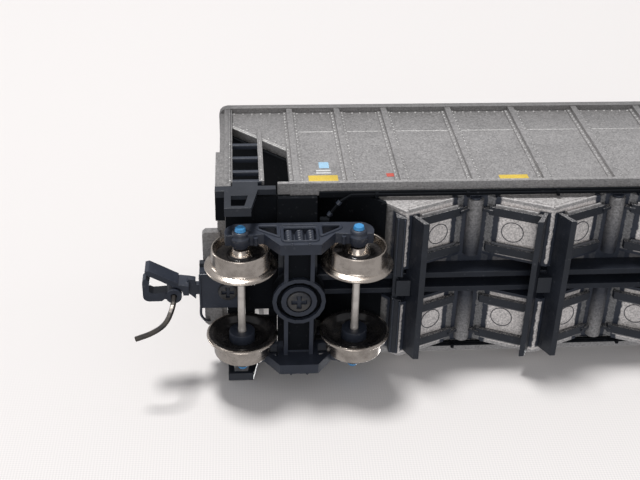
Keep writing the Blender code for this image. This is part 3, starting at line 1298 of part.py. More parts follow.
def make_knuckle(end):
    """The hook that turns on the head, with the boss that holds the trip pin."""
    x, y = KNUCKLE_PIVOT
    low = HEAD_Z[0]
    high = HEAD_Z[1] - 0.0005 - RUNNING_CLEARANCE
    front = KNUCKLE_FRONT
    inner = front - KNUCKLE_THICKNESS
    y_low, y_high = KNUCKLE_Y
    corner = 0.0006
    outline = [
        (x + 0.0005, y + 0.0006),
        (x + 0.0009, y_high - 0.00025),
        (x + 0.0012, y_high),
        *arc((front - corner, y_high - corner), corner, 90, 0, 5),
        *arc((front - corner, y_low + corner), corner, 0, -70, 5),
        (inner - 0.0001, y_low + 0.0005),
        (inner, y_high - 0.0011),
        (inner - 0.0004, y_high - 0.0009),
        (x + 0.0006, y - 0.0003),
    ]
    hook = extruded([spot(end, *point) for point in outline], "Z", low, high)
    px, py = spot(end, x, y)
    boss = [(0, low - BOSS_DROP), (KNUCKLE_BOSS_RADIUS, low - BOSS_DROP), (KNUCKLE_BOSS_RADIUS, high), (0, high)]
    drum = turned(boss, "Z", (px, py, 0), 20)
    hole = PIN_RADIUS + CLEARANCE
    depth = low + 0.0009
    bore = turned([(0, 0), (hole, 0), (hole, depth), (0, depth)], "Z", (px, py, 0), 12)
    return fused(f"knuckle_{end}", [drum, hook], "black", cuts=[bore], origin=(px, py, low))


def make_trip_pin(end):
    """The curved wire below the knuckle that a magnet between the rails pulls aside."""
    x, y = KNUCKLE_PIVOT
    end_x, end_y, end_z = PIN_END
    top = HEAD_Z[0] + 0.0008
    corners = [
        (x, y, top),
        (x, y, HEAD_Z[0] - BOSS_DROP - 0.0002),
        (x, y, end_z + 0.0016),
        (x + (end_x - x) * 0.18, y + (end_y - y) * 0.42, end_z + 0.0003),
        (x + (end_x - x) * 0.55, y + (end_y - y) * 0.75, end_z),
        (end_x, end_y, end_z),
    ]
    path = smooth_path([(*spot(end, a, b), c) for a, b, c in corners], 2)
    straight = [(*spot(end, x, y), top)]
    px, py = spot(end, x, y)
    return fused(f"trip_pin_{end}", [rod(straight + path[1:], PIN_RADIUS)], "bronze", origin=(px, py, HEAD_Z[0]))


# ================================================================ hand brake
def make_brake_stand():
    """The post at end b with the hand brake's gear case, standing on the end platform."""
    x = BODY_END + END_SILL_WIDTH / 2 + CLEARANCE
    y = BRAKE_STAND_Y
    foot = WALKWAY_Z[1] + CLEARANCE
    post_shape = block((x, x + BRAKE_STAND_DEPTH), (y - BRAKE_STAND_WIDTH / 2, y + BRAKE_STAND_WIDTH / 2), (foot, BRAKE_STAND_TOP))
    half = BRAKE_GEAR_WIDTH / 2
    low = BRAKE_GEAR_Z - BRAKE_GEAR_HEIGHT / 2
    case = [(y - half * 0.6, low), (y + half * 0.6, low), (y + half, BRAKE_GEAR_Z), *arc((y, BRAKE_GEAR_Z), half, 0, 180, 10)[1:]]
    gear = extruded(case, "X", x + BRAKE_STAND_DEPTH - CLEARANCE, x + BRAKE_STAND_DEPTH + BRAKE_GEAR_DEPTH)
    return fused("brake_stand_b", [post_shape, gear], "black")


def make_brake_wheel():
    """The spoked hand wheel in front of the gear case."""
    x = BODY_END + END_SILL_WIDTH / 2 + CLEARANCE * 2 + BRAKE_STAND_DEPTH + BRAKE_GEAR_DEPTH
    y = BRAKE_STAND_Y
    rim_x = x + BRAKE_WHEEL_STAND_OFF
    tube = BRAKE_WHEEL_RIM
    section = [(BRAKE_WHEEL_RADIUS - tube + a, b) for a, b in arc((0, 0), tube, 0, 288, 4)]
    centre = (rim_x, y, BRAKE_GEAR_Z)
    rim = turned(section, "X", centre, 16)
    hub = turned([(0, -BRAKE_WHEEL_STAND_OFF), (BRAKE_HUB_RADIUS, -BRAKE_WHEEL_STAND_OFF), (BRAKE_HUB_RADIUS, tube), (0, tube)], "X", centre, 12)
    shapes = [rim, hub]
    for i in range(BRAKE_WHEEL_SPOKES):
        turn = 2 * math.pi * i / BRAKE_WHEEL_SPOKES + math.pi / 2
        direction = Vector((0, math.cos(turn), math.sin(turn)))
        middle = Vector(centre)
        shapes.append(rod([middle, middle + direction * (BRAKE_WHEEL_RADIUS - tube)], tube * 0.75, 4))
    return fused("brake_wheel_b", shapes, "black", origin=centre)


# ================================================================ whole car
def make_car():
    """Builds every piece of the car in the empty scene."""
    clear_scene()
    make_body_shell()
    make_hopper_floor()
    make_centre_sill()
    for number in range(1, BAYS + 1):
        make_door_frame(number)
    for side_name in SIDES:
        make_pipe_rail(side_name)
    for end in ENDS:
        make_end_frame(end)
        make_coupler_box(end)
        make_coupler_lid(end)
        make_coupler_screw(end)
        make_coupler(end)
        make_knuckle(end)
        make_trip_pin(end)
        make_truck_frame(end)
        make_truck_screw(end)
        for side_name in SIDES:
            make_side_ladder(end, side_name)
        for number in (1, 2):
            make_axle(end, number)
            make_bush(end, number)
            for side_name in SIDES:
                make_wheel(end, number, side_name)
                make_bearing_cap(end, number, side_name)
    make_brake_stand()
    make_brake_wheel()


if __name__ == "__main__":
    make_car()
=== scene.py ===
"""The looks of the model hopper car: paint, bare metal, rivets, welds, springs and the small trim.

Lengths are metres in the frame of the solids: X along the car, Z up, wheel flanges on Z = 0. End "a" is at
-X and side "right" is at -Y. New pieces are surfaces worked out on grids of two parameters.
"""

import json
import math

import bmesh
import bpy
import numpy as np
from mathutils import Matrix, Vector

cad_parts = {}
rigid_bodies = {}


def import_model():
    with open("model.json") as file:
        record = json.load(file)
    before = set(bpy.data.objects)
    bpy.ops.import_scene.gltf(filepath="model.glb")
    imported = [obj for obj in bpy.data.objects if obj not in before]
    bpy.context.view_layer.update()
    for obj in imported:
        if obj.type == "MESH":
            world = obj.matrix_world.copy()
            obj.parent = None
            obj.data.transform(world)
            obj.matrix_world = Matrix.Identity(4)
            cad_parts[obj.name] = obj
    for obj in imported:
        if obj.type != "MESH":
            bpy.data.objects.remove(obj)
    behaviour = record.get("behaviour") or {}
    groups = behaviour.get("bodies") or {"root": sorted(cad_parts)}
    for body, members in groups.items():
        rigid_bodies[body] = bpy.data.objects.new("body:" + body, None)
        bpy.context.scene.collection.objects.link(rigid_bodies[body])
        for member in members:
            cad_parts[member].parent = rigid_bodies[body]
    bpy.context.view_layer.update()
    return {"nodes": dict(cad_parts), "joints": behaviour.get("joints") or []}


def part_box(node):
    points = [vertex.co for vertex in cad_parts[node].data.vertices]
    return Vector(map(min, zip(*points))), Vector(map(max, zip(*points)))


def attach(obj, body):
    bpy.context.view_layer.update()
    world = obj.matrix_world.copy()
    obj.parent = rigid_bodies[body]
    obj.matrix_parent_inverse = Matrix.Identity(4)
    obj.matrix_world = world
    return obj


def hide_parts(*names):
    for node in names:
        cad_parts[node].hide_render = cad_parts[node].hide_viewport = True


bl_info = {
    "name": "Model Hopper Car Finish",
    "version": (1, 0, 0),
    "blender": (4, 5, 0),
    "location": "View3D > Sidebar > Hopper Car",
    "description": "Dresses the hopper car with its paint, rivets, wheels and trim",
    "category": "Object",
}

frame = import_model()

# ---------------------------------------------------------------- places taken from the solids
JOINTS = {joint["name"]: joint for joint in frame["joints"]}
TRUCK_X = abs(JOINTS["truck_a_swivel"]["pos_m"][0])
AXLE_Z = JOINTS["wheelset_a1_spin"]["pos_m"][2]
WHEELBASE = abs(JOINTS["wheelset_a1_spin"]["pos_m"][0] - JOINTS["wheelset_a2_spin"]["pos_m"][0])
CHORD_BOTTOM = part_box("body_shell")[1].z - 0.0011
ENDS = {"a": -1, "b": 1}
SIDES = {"right": -1, "left": 1}
CORNERS = [(f"{end}_{name}", end, sign, side) for end, sign in ENDS.items() for name, side in SIDES.items()]

# ---------------------------------------------------------------- sizes shared by several pieces
SHEET_Y = 0.0096
POST_Y = 0.0101
SHORT_PANEL = 0.0052
LONG_PANEL = (2 * TRUCK_X - 4 * SHORT_PANEL) / 8
POSTS = [LONG_PANEL * i for i in range(5)] + [LONG_PANEL * 4 + SHORT_PANEL, TRUCK_X]
POST_XS = sorted({sign * x for x in POSTS for sign in (-1, 1)})
SEAM_XS = [LONG_PANEL * 2 * i for i in (-2, -1, 0, 1, 2)]
SEAM_Z = 0.0052
DOOR_ANGLE = math.radians(23.9)
DOOR_RISE = math.tan(DOOR_ANGLE)
DOOR_TOP = 0.00805
PEAK_GAP = LONG_PANEL  # from a seam to the peak between two bays
BAY_Y = 0.0086
SLOPE_TOP = TRUCK_X + 0.00632
SLOPE_TOP_Z = 0.02219
SLOPE_DROP = 0.00558
TOP_ROW_Z = 0.02508
LADDER_STILE = 0.0005
CORNER_POST_X = TRUCK_X + 0.00645
RUNG_ZS = (0.009, 0.01095, 0.01385, 0.01675)
SIDE_FRAME_FACE = 0.0075
HALF_BACK_TO_BACK = 0.0038
DECK_Z = 0.00765
CLOTH_REACH = 3.0
CLOTH_Y = 0.01026
FLOOR_Z = -0.00001
THREADS = 11500.0  # radians of the cloth's weave for each metre
UP = (0, 0, 1)
DECK_PLATES = (  # from and to along the car, past the truck's centre, then from and to across it
    (0.00195, 0.0046, 0.0022, 0.0039),
    (0.00195, 0.0028, 0.0038, 0.005),
    (0.00195, 0.0046, 0.0049, 0.0092),
)
TURNED_AGAIN = ("wheel_", "axle_", "truck_screw", "coupler_screw")  # solids that a finer piece stands for
KEPT_SHARP = ("trip_pin", "bearing_cap", "brake_wheel")  # solids too fine for rounded edges


# ================================================================ surfaces
def quads_of(rows, columns, around=True, ring=False):
    """Corners of the squares between neighbouring points of a grid.

    The points are numbered row by row. The last column joins the first where the surface goes around, and
    the last row joins the first where it is a ring.
    """
    row = np.arange(rows if ring else rows - 1)[:, None]
    column = np.arange(columns if around else columns - 1)[None, :]
    after = (row + 1) % rows
    beside = (column + 1) % columns
    here, there = row * columns, after * columns
    corners = np.broadcast_arrays(here + column, here + beside, there + beside, there + column)
    return np.stack(corners, axis=-1).reshape(-1, 4)


def places(x, y, z):
    """Points from an array or a single value for each axis."""
    return np.stack(np.broadcast_arrays(x, y, z), axis=-1).astype(float)


def many(points, faces, offsets):
    """Repeats one shape at each offset: the points moved, and the faces numbered on."""
    moved = (points + offsets[:, None]).reshape(-1, 3)
    numbered = faces + (np.arange(len(offsets)) * len(points))[:, None, None]
    return moved, numbered.reshape(-1, faces.shape[1])


def joined(parts):
    """One (points, faces) pair from several, numbered on."""
    points, faces, start = [], [], 0
    for some_points, some_faces in parts:
        points.append(some_points.reshape(-1, 3))
        faces.append(some_faces + start)
        start += len(points[-1])
    return np.concatenate(points), np.concatenate(faces)


def turned(profile, steps, centre, side=1):
    """A profile of (radius, distance) points turned round a line along Y.

    A point's place is centre + (radius cos t, side * distance, radius sin t), with t going round once.
    """
    profile = np.asarray(profile, float)
    turn = np.linspace(0, 2 * math.pi, steps, endpoint=False)
    radius, along = profile.T
    return places(np.outer(np.cos(turn), radius), side * along, np.outer(np.sin(turn), radius)) + centre


def rounded(profile, radius, steps=4, closed=False):
    """Replaces each inner corner of a line of points by an arc-like curve.

    The curve is the quadratic one whose ends lie at most radius from the corner, which is its handle.
    """
    points = np.asarray(profile, float)
    count = len(points)
    made = []
    for i in range(count):
        if not closed and i in (0, count - 1):
            made.append(points[i][None])
            continue
        before, here, after = points[i - 1], points[i], points[(i + 1) % count]
        reach = min(radius, 0.45 * np.linalg.norm(before - here), 0.45 * np.linalg.norm(after - here))
        start = here + (before - here) / np.linalg.norm(before - here) * reach
        end = here + (after - here) / np.linalg.norm(after - here) * reach
        t = np.linspace(0, 1, steps + 1)[:, None]
        made.append((1 - t) ** 2 * start + 2 * t * (1 - t) * here + t**2 * end)
    return np.concatenate(made)


def circle(radius, sides=8):
    """Points of a circle in the plane of a profile."""
    turn = np.linspace(0, 2 * math.pi, sides, endpoint=False)
    return np.stack([radius * np.cos(turn), radius * np.sin(turn)], axis=-1)


def oblong(width, height, edge):
    """A rectangle with rounded corners, centred on nothing."""
    x, y = width / 2, height / 2
    return rounded([(x, -y), (x, y), (-x, y), (-x, -y)], edge, 2, closed=True)


def carried(outline, path, up, ring=False):
    """An outline carried along a path, square to it.

    At each point of the path, the outline's first axis lies along direction x up, and its second is square to
    both that and the path.
    The open ends are closed by drawing the outline in to the path's end point.
    """
    outline = np.asarray(outline, float)
    path = np.asarray(path, float)
    ahead = np.roll(path, -1, axis=0) - np.roll(path, 1, axis=0) if ring else np.gradient(path, axis=0)
    ahead = ahead / np.linalg.norm(ahead, axis=1, keepdims=True)
    across = np.cross(ahead, np.asarray(up, float))
    across = across / np.linalg.norm(across, axis=1, keepdims=True)
    over = np.cross(across, ahead)
    grid = path[:, None] + outline[:, :1] * across[:, None] + outline[:, 1:] * over[:, None]
    if not ring:
        first = np.broadcast_to(path[0], (1, len(outline), 3))
        last = np.broadcast_to(path[-1], (1, len(outline), 3))
        grid = np.concatenate([first, grid, last])
    return grid.reshape(-1, 3), quads_of(len(grid), len(outline), True, ring)


def straight(outline, start, end, up):
    """An outline carried from one point to another, with one ring halfway."""
    start, end = np.asarray(start, float), np.asarray(end, float)
    return carried(outline, [start, (start + end) / 2, end], up)


def stud(radius, height, normal):
    """A domed rivet head: rings of points that draw in as they rise, closed below."""
    normal = np.asarray(normal, float)
    flat = np.array([0.0, 0.0, 1.0]) if abs(normal[2]) < 0.5 else np.array([1.0, 0.0, 0.0])
    other = np.cross(normal, flat)
    rings = [(0.0, -0.3), (1.0, -0.3), (0.78, 0.62), (0.0, 1.0)]
    ring = circle(radius)
    disc = ring[:, :1] * flat + ring[:, 1:] * other
    rows = [scale * disc + rise * height * normal for scale, rise in rings]
    return np.concatenate(rows), quads_of(len(rings), len(ring))


def piece(name, body, parts, finishes, slot="silver", finish_rows=None, uv=None, smooth=40):
    """Makes one object of the surfaces, with its faces outward, and lets it ride on a body."""
    points, faces = parts if isinstance(parts, tuple) else joined(parts)
    mesh = bpy.data.meshes.new(name)
    mesh.from_pydata(points.tolist(), [], faces.tolist())
    for surface_of in finishes if isinstance(finishes, list) else [finishes]:
        mesh.materials.append(surface_of)
    if finish_rows is not None:
        mesh.polygons.foreach_set("material_index", finish_rows.astype(np.int32))
    if uv is not None:
        layer = mesh.uv_layers.new(name="turning")
        layer.data.foreach_set("uv", uv.reshape(-1).astype(np.float32))
    bm = bmesh.new()
    bm.from_mesh(mesh)
    bmesh.ops.remove_doubles(bm, verts=bm.verts[:], dist=2e-7)
    bmesh.ops.recalc_face_normals(bm, faces=bm.faces[:])
    bm.to_mesh(mesh)
    bm.free()
    mesh.shade_smooth()
    mesh.set_sharp_from_angle(angle=math.radians(smooth))
    made = bpy.data.objects.new(name, mesh)
    bpy.context.scene.collection.objects.link(made)
    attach(made, body)
    return made


# ================================================================ material workings
class Wiring:
    """Adds nodes to a tree and joins them."""

    def __init__(self, tree):
        self.tree = tree
        tree.nodes.clear()

    def give(self, socket, value):
        if isinstance(value, bpy.types.NodeSocket):
            self.tree.links.new(value, socket)
        else:
            socket.default_value = value

    def add(self, kind, inputs=None, **settings):
        made = self.tree.nodes.new(kind if kind.startswith("NodeGroup") else "ShaderNode" + kind)
        for key, value in settings.items():
            setattr(made, key, value)
        for key, value in (inputs or {}).items():
            self.give(made.inputs[key], value)
        return made

    def value(self, kind, inputs=None, **settings):
        """The first output of a new node."""
        return self.add(kind, inputs, **settings).outputs[0]

    def math(self, operation, a, b=0.0):
        return self.value("Math", {0: a, 1: b}, operation=operation)

    def times(self, a, b):
        return self.math("MULTIPLY", a, b)

    def plus(self, a, b):
        return self.math("ADD", a, b)

    def spread(self, value, low, high, to_low, to_high):
        """Maps a value from one range to another, held at its ends."""
        inputs = {"Value": value, "From Min": low, "From Max": high, "To Min": to_low, "To Max": to_high}
        return self.add("MapRange", inputs).outputs["Result"]

    def rise(self, value, low, high):
        """0 up to a value, and 1 from another."""
        return self.spread(value, low, high, 0.0, 1.0)

    def fall(self, value, low, high):
        """1 up to a value, and 0 from another."""
        return self.spread(value, low, high, 1.0, 0.0)

    def axes(self, vector):
        return self.add("SeparateXYZ", {"Vector": vector}).outputs

    def reach(self, vector, axis):
        """The distance from the middle along one axis."""
        return self.math("ABSOLUTE", self.axes(vector)[axis])

    def facing(self, axis):
        """How far the surface faces along one axis."""
        return self.axes(self.add("NewGeometry").outputs["Normal"])[axis]

    def scaled(self, colour, level):
        return self.value("VectorMath", {0: colour, "Scale": level}, operation="SCALE")

    def blend(self, amount, one, two):
        """Mixes two colours."""
        inputs = {0: amount, 6: one, 7: two}
        return self.add("Mix", inputs, data_type="RGBA").outputs[2]

    def noise(self, vector, scale, detail=2.0, roughness=0.5):
        inputs = {"Vector": vector, "Scale": scale, "Detail": detail, "Roughness": roughness}
        return self.add("TexNoise", inputs).outputs["Fac"]

    def use(self, group, *values):
        """Places a node group and fills its inputs in order."""
        made = self.add("Group", node_tree=group)
        for socket, value in zip(made.inputs, values):
            self.give(socket, value)
        return made.outputs


def node_group(name, inputs, outputs):
    """Turns a function that wires a group's inside into one that gives the group, made when first asked for.

    Inputs and outputs are the kinds of socket by their labels.
    """

    def wrap(inside):
        def get():
            if name not in bpy.data.node_groups:
                tree = bpy.data.node_groups.new(name, "ShaderNodeTree")
                for way, sockets in (("INPUT", inputs), ("OUTPUT", outputs)):
                    for label, kind in sockets.items():
                        tree.interface.new_socket(name=label, in_out=way, socket_type="NodeSocket" + kind)
                wires = Wiring(tree)
                given = wires.add("NodeGroupInput").outputs[: len(inputs)]
                wires.add("NodeGroupOutput", inside(wires, *given))
            return bpy.data.node_groups[name]

        return get

    return wrap


# Sockets of the groups.
GRAIN = {"Vector": "Vector", "Base": "Color", "Contrast": "Float", "Scale": "Float"}
MOULDED = {"Vector": "Vector", "Base": "Color", "Dust": "Color", "Dust Amount": "Float"}
TURNED = {"Vector": "Vector", "Turning": "Vector", "Base": "Color", "Stain": "Color", "Stain Amount": "Float"}
BOX = {"Vector": "Vector", "Low": "Vector", "High": "Vector", "Softness": "Float"}
SKIN = {"Color": "Color", "Roughness": "Float", "Height": "Float"}


@node_group("Paint Grain", GRAIN, SKIN)
def paint_grain(wires, place, base, contrast, scale):
    """Metallic paint seen close: fine flakes lighter and darker than the base, and a broad unevenness."""
    fine = wires.noise(place, scale, 1.0, 0.6)
    cell = wires.add("TexVoronoi", {"Vector": place, "Scale": scale}).outputs["Color"]
    flake = wires.value("SeparateColor", {"Color": cell})
    broad = wires.noise(place, 260.0, 3.0, 0.55)
    grain = wires.plus(wires.spread(fine, 0.3, 0.7, -1.0, 1.0), wires.spread(flake, 0.0, 1.0, -0.6, 0.6))
    level = wires.plus(wires.times(grain, contrast), 1.0)
    return {
        "Color": wires.scaled(base, wires.times(level, wires.spread(broad, 0.3, 0.7, 0.94, 1.06))),
        "Roughness": wires.spread(flake, 0.0, 1.0, 0.36, 0.58),
        "Height": wires.plus(fine, wires.times(flake, 0.5)),
    }


@node_group("Moulded Skin", MOULDED, SKIN)
def moulded_skin(wires, place, base, dust, amount):
    """Satin moulded plastic: a faint mottle, soft flow marks and fine dust that settles in patches."""
    broad = wires.noise(place, 420.0, 3.0, 0.6)
    speck = wires.rise(wires.noise(place, 2600.0, 1.0, 0.5), 0.68, 0.78)
    settled = wires.times(speck, amount)
    mottled = wires.scaled(base, wires.spread(broad, 0.3, 0.7, 0.82, 1.18))
    return {
        "Color": wires.blend(settled, mottled, dust),
        "Roughness": wires.plus(wires.spread(broad, 0.3, 0.7, 0.34, 0.50), wires.times(settled, 0.3)),
        "Height": wires.noise(place, 5200.0, 2.0, 0.6),
    }


@node_group("Turned Metal", TURNED, SKIN)
def turned_metal(wires, place, turning, base, stain, amount):
    """Plated metal from a lathe: rings that follow the turning, and darker handled patches."""
    stretched = wires.value("Mapping", {"Vector": turning, "Scale": (6.0, 260.0, 1.0)})
    rings = wires.noise(stretched, 1.0, 2.0, 0.6)
    patches = wires.rise(wires.noise(place, 900.0, 4.0, 0.62), 0.42, 0.68)
    pits = wires.times(wires.noise(place, 4200.0, 2.0, 0.6), 0.5)
    stained = wires.times(patches, amount)
    return {
        "Color": wires.blend(stained, base, stain),
        "Roughness": wires.plus(wires.spread(rings, 0.3, 0.7, 0.28, 0.42), wires.times(stained, 0.2)),
        "Height": wires.plus(wires.times(rings, 0.6), pits),
    }


@node_group("Box Mask", BOX, {"Mask": "Float"})
def box_mask(wires, place, low, high, softness):
    """1 inside a box given by the size of X, the size of Y and the height, with soft faces, and 0 outside."""
    low, high = wires.axes(low), wires.axes(high)
    inside = 1.0
    for i, value in enumerate([wires.reach(place, 0), wires.reach(place, 1), wires.axes(place)[2]]):
        above = wires.math("DIVIDE", wires.math("SUBTRACT", value, low[i]), softness)
        below = wires.math("DIVIDE", wires.math("SUBTRACT", high[i], value), softness)
        inside = wires.math("MINIMUM", inside, wires.math("MINIMUM", above, below))
    return {"Mask": wires.value("Clamp", {"Value": inside})}


@node_group("Bay Bands", {"Vector": "Vector"}, {"Black": "Float", "Dim": "Float", "Down": "Float"})
def bay_shade_bands(wires, place):
    """Painted shade on a bay's sheet: which parts are painted black, and which dim, by the distance to its
    seam.

    The distance folds |x| over every two panels. Black shade lies beside the seam itself, under the beams,
    and again from the door's upper end to the peak, with dim shade on a strip along the floor's step. Both
    stop at the door's height.
    """
    along = wires.reach(place, 0)
    ragged = wires.spread(wires.noise(place, 2400.0, 3.0, 0.6), 0.3, 0.7, -0.00007, 0.00007)
    reach = wires.plus(wires.math("PINGPONG", along, PEAK_GAP), ragged)
    upper = wires.rise(reach, PEAK_GAP - 0.00246, PEAK_GAP - 0.00232)
    start = wires.rise(reach, 0.00015, 0.00021)
    beside = wires.times(start, wires.fall(reach, 0.0012, 0.0014))
    across = wires.fall(wires.reach(place, 1), 0.008, 0.0082)
    # Painted shade: black beside the seams, under the beams and towards the peaks.
    black = wires.math("MAXIMUM", upper, wires.times(beside, across))
    dim_low = wires.rise(reach, PEAK_GAP - 0.0019, PEAK_GAP - 0.00182)
    dim_high = wires.fall(reach, PEAK_GAP - 0.00126, PEAK_GAP - 0.00118)
    below = wires.fall(wires.axes(place)[2], DOOR_TOP, DOOR_TOP + 0.0001)
    inside = wires.fall(along, TRUCK_X - 0.0084, TRUCK_X - 0.0082)
    down = wires.fall(wires.facing(2), 0.05, 0.2)
    held = wires.times(wires.times(below, inside), down)
    dim = wires.times(wires.times(dim_low, dim_high), held)
    return {"Black": wires.times(black, held), "Dim": dim, "Down": down}


def colour(name):
    """One of the colours of the object's property group, with full opacity."""
    return (*getattr(bpy.context.scene.hopper_colours, name)[:], 1.0)


def made_once(build):
    """Turns a function that wires a material into one that gives the material, made when first asked for.

    Its arguments are the material's name, where it isn't the function's own, and what the wiring needs.
    """

    def get(name=build.__name__, *given):
        made = bpy.data.materials.get(name)
        if made is None:
            made = bpy.data.materials.new(name)
            made.use_nodes = True
            wires = Wiring(made.node_tree)
            shader = build(wires, wires.add("TexCoord").outputs["Object"], *given)
            wires.add("OutputMaterial", {"Surface": shader})
        return made

    return get


def surface(wires, skin, depth, metallic=0.0, base=None, rough=None, coat=0.0, specular=0.5):
    """The plain shader at the end of each material: a group's outputs, or what stands in for them."""
    inputs = {
        "Base Color": base or skin["Color"],
        "Roughness": rough or skin["Roughness"],
        "Metallic": metallic,
        "Normal": wires.value("Bump", {"Height": skin["Height"], "Strength": 0.6, "Distance": depth}),
        "Coat Weight": coat,
        "Specular IOR Level": specular,
    }
    return wires.value("BsdfPrincipled", inputs)


def flakes(wires, place, base, contrast, scale):
    """The paint's grain in a material, on one of the object's colours or on a colour from the nodes."""
    base = colour(base) if isinstance(base, str) else base
    return wires.use(paint_grain(), place, base, contrast, scale)


def black_skin(wires, place, base, dust_amount):
    """The moulded plastic in a material, with the dust's own colour."""
    return wires.use(moulded_skin(), place, base, colour("dust"), dust_amount)


@made_once
def silver_paint(wires, place):
    """Aluminium-coloured paint with visible flakes, darkened towards the top rim and on the end posts as
    painted shade.
    """
    # Painted shade: the base darkens past the end posts and towards the top rim.
    ends = wires.spread(wires.reach(place, 0), TRUCK_X + 0.0058, TRUCK_X + 0.0068, 1.0, 0.76)
    rim = wires.spread(wires.axes(place)[2], 0.0188, 0.0258, 1.0, 0.66)
    base = wires.scaled(colour("silver")[:3], wires.times(rim, ends))
    return surface(wires, flakes(wires, place, base, 0.21, 5600.0), 0.00003, 0.35)


@made_once
def painted_highlights(wires, place):
    """Painted highlight: a lighter silver on rivets, welds, ridges and edges, standing for the light they
    catch.
    """
    return surface(wires, flakes(wires, place, "silver_bright", 0.2, 5200.0), 0.00002, 0.35)


@made_once
def silver_rough(wires, place):
    """The paint sprayed on the lower moulding: palest on the doors, partly their own paint and partly painted
    light, and darkened between the bays and past the outermost seams as painted shade.
    """

    def within(width, softness):
        return wires.use(box_mask(), place, (-1.0, -1.0, 0.0), (1.0, width, DOOR_TOP), softness)["Mask"]

    on_doors = within(0.0084, 0.0001)
    # Partly painted light: the doors take a paler silver for the light that falls on them.
    base = wires.blend(on_doors, colour("silver_floor"), colour("silver_door"))
    grain = flakes(wires, place, base, 0.24, 5600.0)
    skin = black_skin(wires, place, colour("black"), 0.1)
    # Painted shade: a dim silver for the strips between the bays and past the outermost seams.
    thin = flakes(wires, place, "silver_dim", 0.3, 5600.0)
    # Painted shade: black and dim bands in the valleys between the bays.
    bands = wires.use(bay_shade_bands(), place)
    shade = wires.blend(bands["Dim"], skin["Color"], thin["Color"])
    middle = wires.times(within(0.00235, 0.00012), bands["Down"])
    # Painted shade: the sheets past the outermost seams dim towards the trucks.
    outer_shade = wires.spread(wires.reach(place, 0), SEAM_XS[-1] + 0.0006, SEAM_XS[-1] + 0.001, 0.0, 0.85)
    outer_shade = wires.times(outer_shade, wires.times(on_doors, bands["Down"]))
    paint = wires.blend(outer_shade, grain["Color"], thin["Color"])
    mixed = wires.blend(middle, wires.blend(bands["Black"], paint, shade), skin["Color"])
    covered = wires.math("MAXIMUM", middle, bands["Black"])
    metallic = wires.times(wires.math("SUBTRACT", 1.0, covered), 0.3)
    return surface(wires, grain, 0.00003, metallic, mixed)


@made_once
def tube_paint_shaded(wires, place):
    """The cross tubes: silver that turns to black towards the centre sill, as painted shade under the car."""
    grain = flakes(wires, place, "silver", 0.3, 4600.0)
    skin = black_skin(wires, place, colour("black"), 0.1)
    # Painted shade: more black the nearer the centre sill.
    thin = wires.spread(wires.reach(place, 1), 0.0026, 0.007, 0.92, 0.15)
    mixed = wires.blend(thin, grain["Color"], skin["Color"])
    return surface(wires, grain, 0.00003, 0.3, mixed)


@made_once
def ladder_paint(wires, place):
    """Silver stiles with black rungs between them."""
    grain = flakes(wires, place, "silver", 0.17, 7600.0)
    skin = black_skin(wires, place, colour("black"), 0.1)
    low, high = (TRUCK_X + 0.00412, -1.0, 0.0), (TRUCK_X + 0.007, 1.0, 0.0205)
    rungs = wires.use(box_mask(), place, low, high, 0.00004)["Mask"]
    mixed = wires.blend(rungs, grain["Color"], skin["Color"])
    metallic = wires.times(wires.math("SUBTRACT", 1.0, rungs), 0.35)
    return surface(wires, grain, 0.00003, metallic, mixed)


# Black plastics: base colour, dust, sheen, added roughness, and the low and high corner of |x|, |y| and z
# between which the plastic is matt and painted near black as shade: the trucks' channels, the end recesses
# and the whole of the pipe rails.
BLACKS = {
    "black_plastic": ("black", 0.22, 0.5, 0.0, None),
    "sill_black": ("black_frame", 0.22, 0.3, 0.0, None),
    "casting_black": ("black", 0.22, 0.3, 0.2, None),
    "truck_black": ("black", 0.12, 0.5, 0.35, ((-1.0, -1.0, 0.0033), (1.0, 0.0062, 0.1))),
    "end_black": ("black_frame", 0.12, 0.5, 0.35, ((-1.0, -1.0, 0.006), (TRUCK_X + 0.008, 0.0094, 1.0))),
    "pipe_black": ("black", 0.12, 0.5, 0.35, ((-1.0, -1.0, -1.0), (1.0, 1.0, 1.0))),
}


@made_once
def black_of(wires, place, base, dust_amount, sheen, duller, shade_box):
    """Satin black moulded plastic with a cold tint, painted near black inside its box as shade."""
    base = colour(base)
    if shade_box:
        # Painted shade: near black and matt inside the box.
        shade_mask = wires.use(box_mask(), place, *shade_box, 0.00004)["Mask"]
        base = wires.blend(shade_mask, base, colour("black_deep"))
        duller = wires.times(shade_mask, duller)
        sheen = wires.spread(shade_mask, 0.0, 1.0, sheen, 0.1)
    skin = black_skin(wires, place, base, dust_amount)
    return surface(wires, skin, 0.00002, rough=wires.plus(skin["Roughness"], duller), specular=sheen)


def plastic(name="black_plastic"):
    """One of the black plastics of the table."""
    return black_of(name, *BLACKS[name])


@made_once
def black_with_spray_highlights(wires, place):
    """The black door frames with specks of silver overspray, and silver on the edges that face the sides,
    partly overspray and partly a painted highlight.
    """
    skin = black_skin(wires, place, colour("black_frame"), 0.2)
    grain = flakes(wires, place, "silver_floor", 0.4, 4600.0)
    # Partly painted highlight: silver on the edges that face the sides, away from the centre sill.
    edge = wires.spread(wires.math("ABSOLUTE", wires.facing(1)), 0.55, 0.85, 0.0, 0.46)
    away = wires.rise(wires.reach(place, 1), 0.0012, 0.0018)
    caught = wires.plus(wires.noise(place, 8500.0, 2.0, 0.6), wires.times(edge, away))
    spray = wires.spread(caught, 0.86, 1.12, 0.0, 0.7)
    mixed = wires.blend(spray, skin["Color"], grain["Color"])
    return surface(wires, grain, 0.00002, 0.0, mixed, skin["Roughness"])


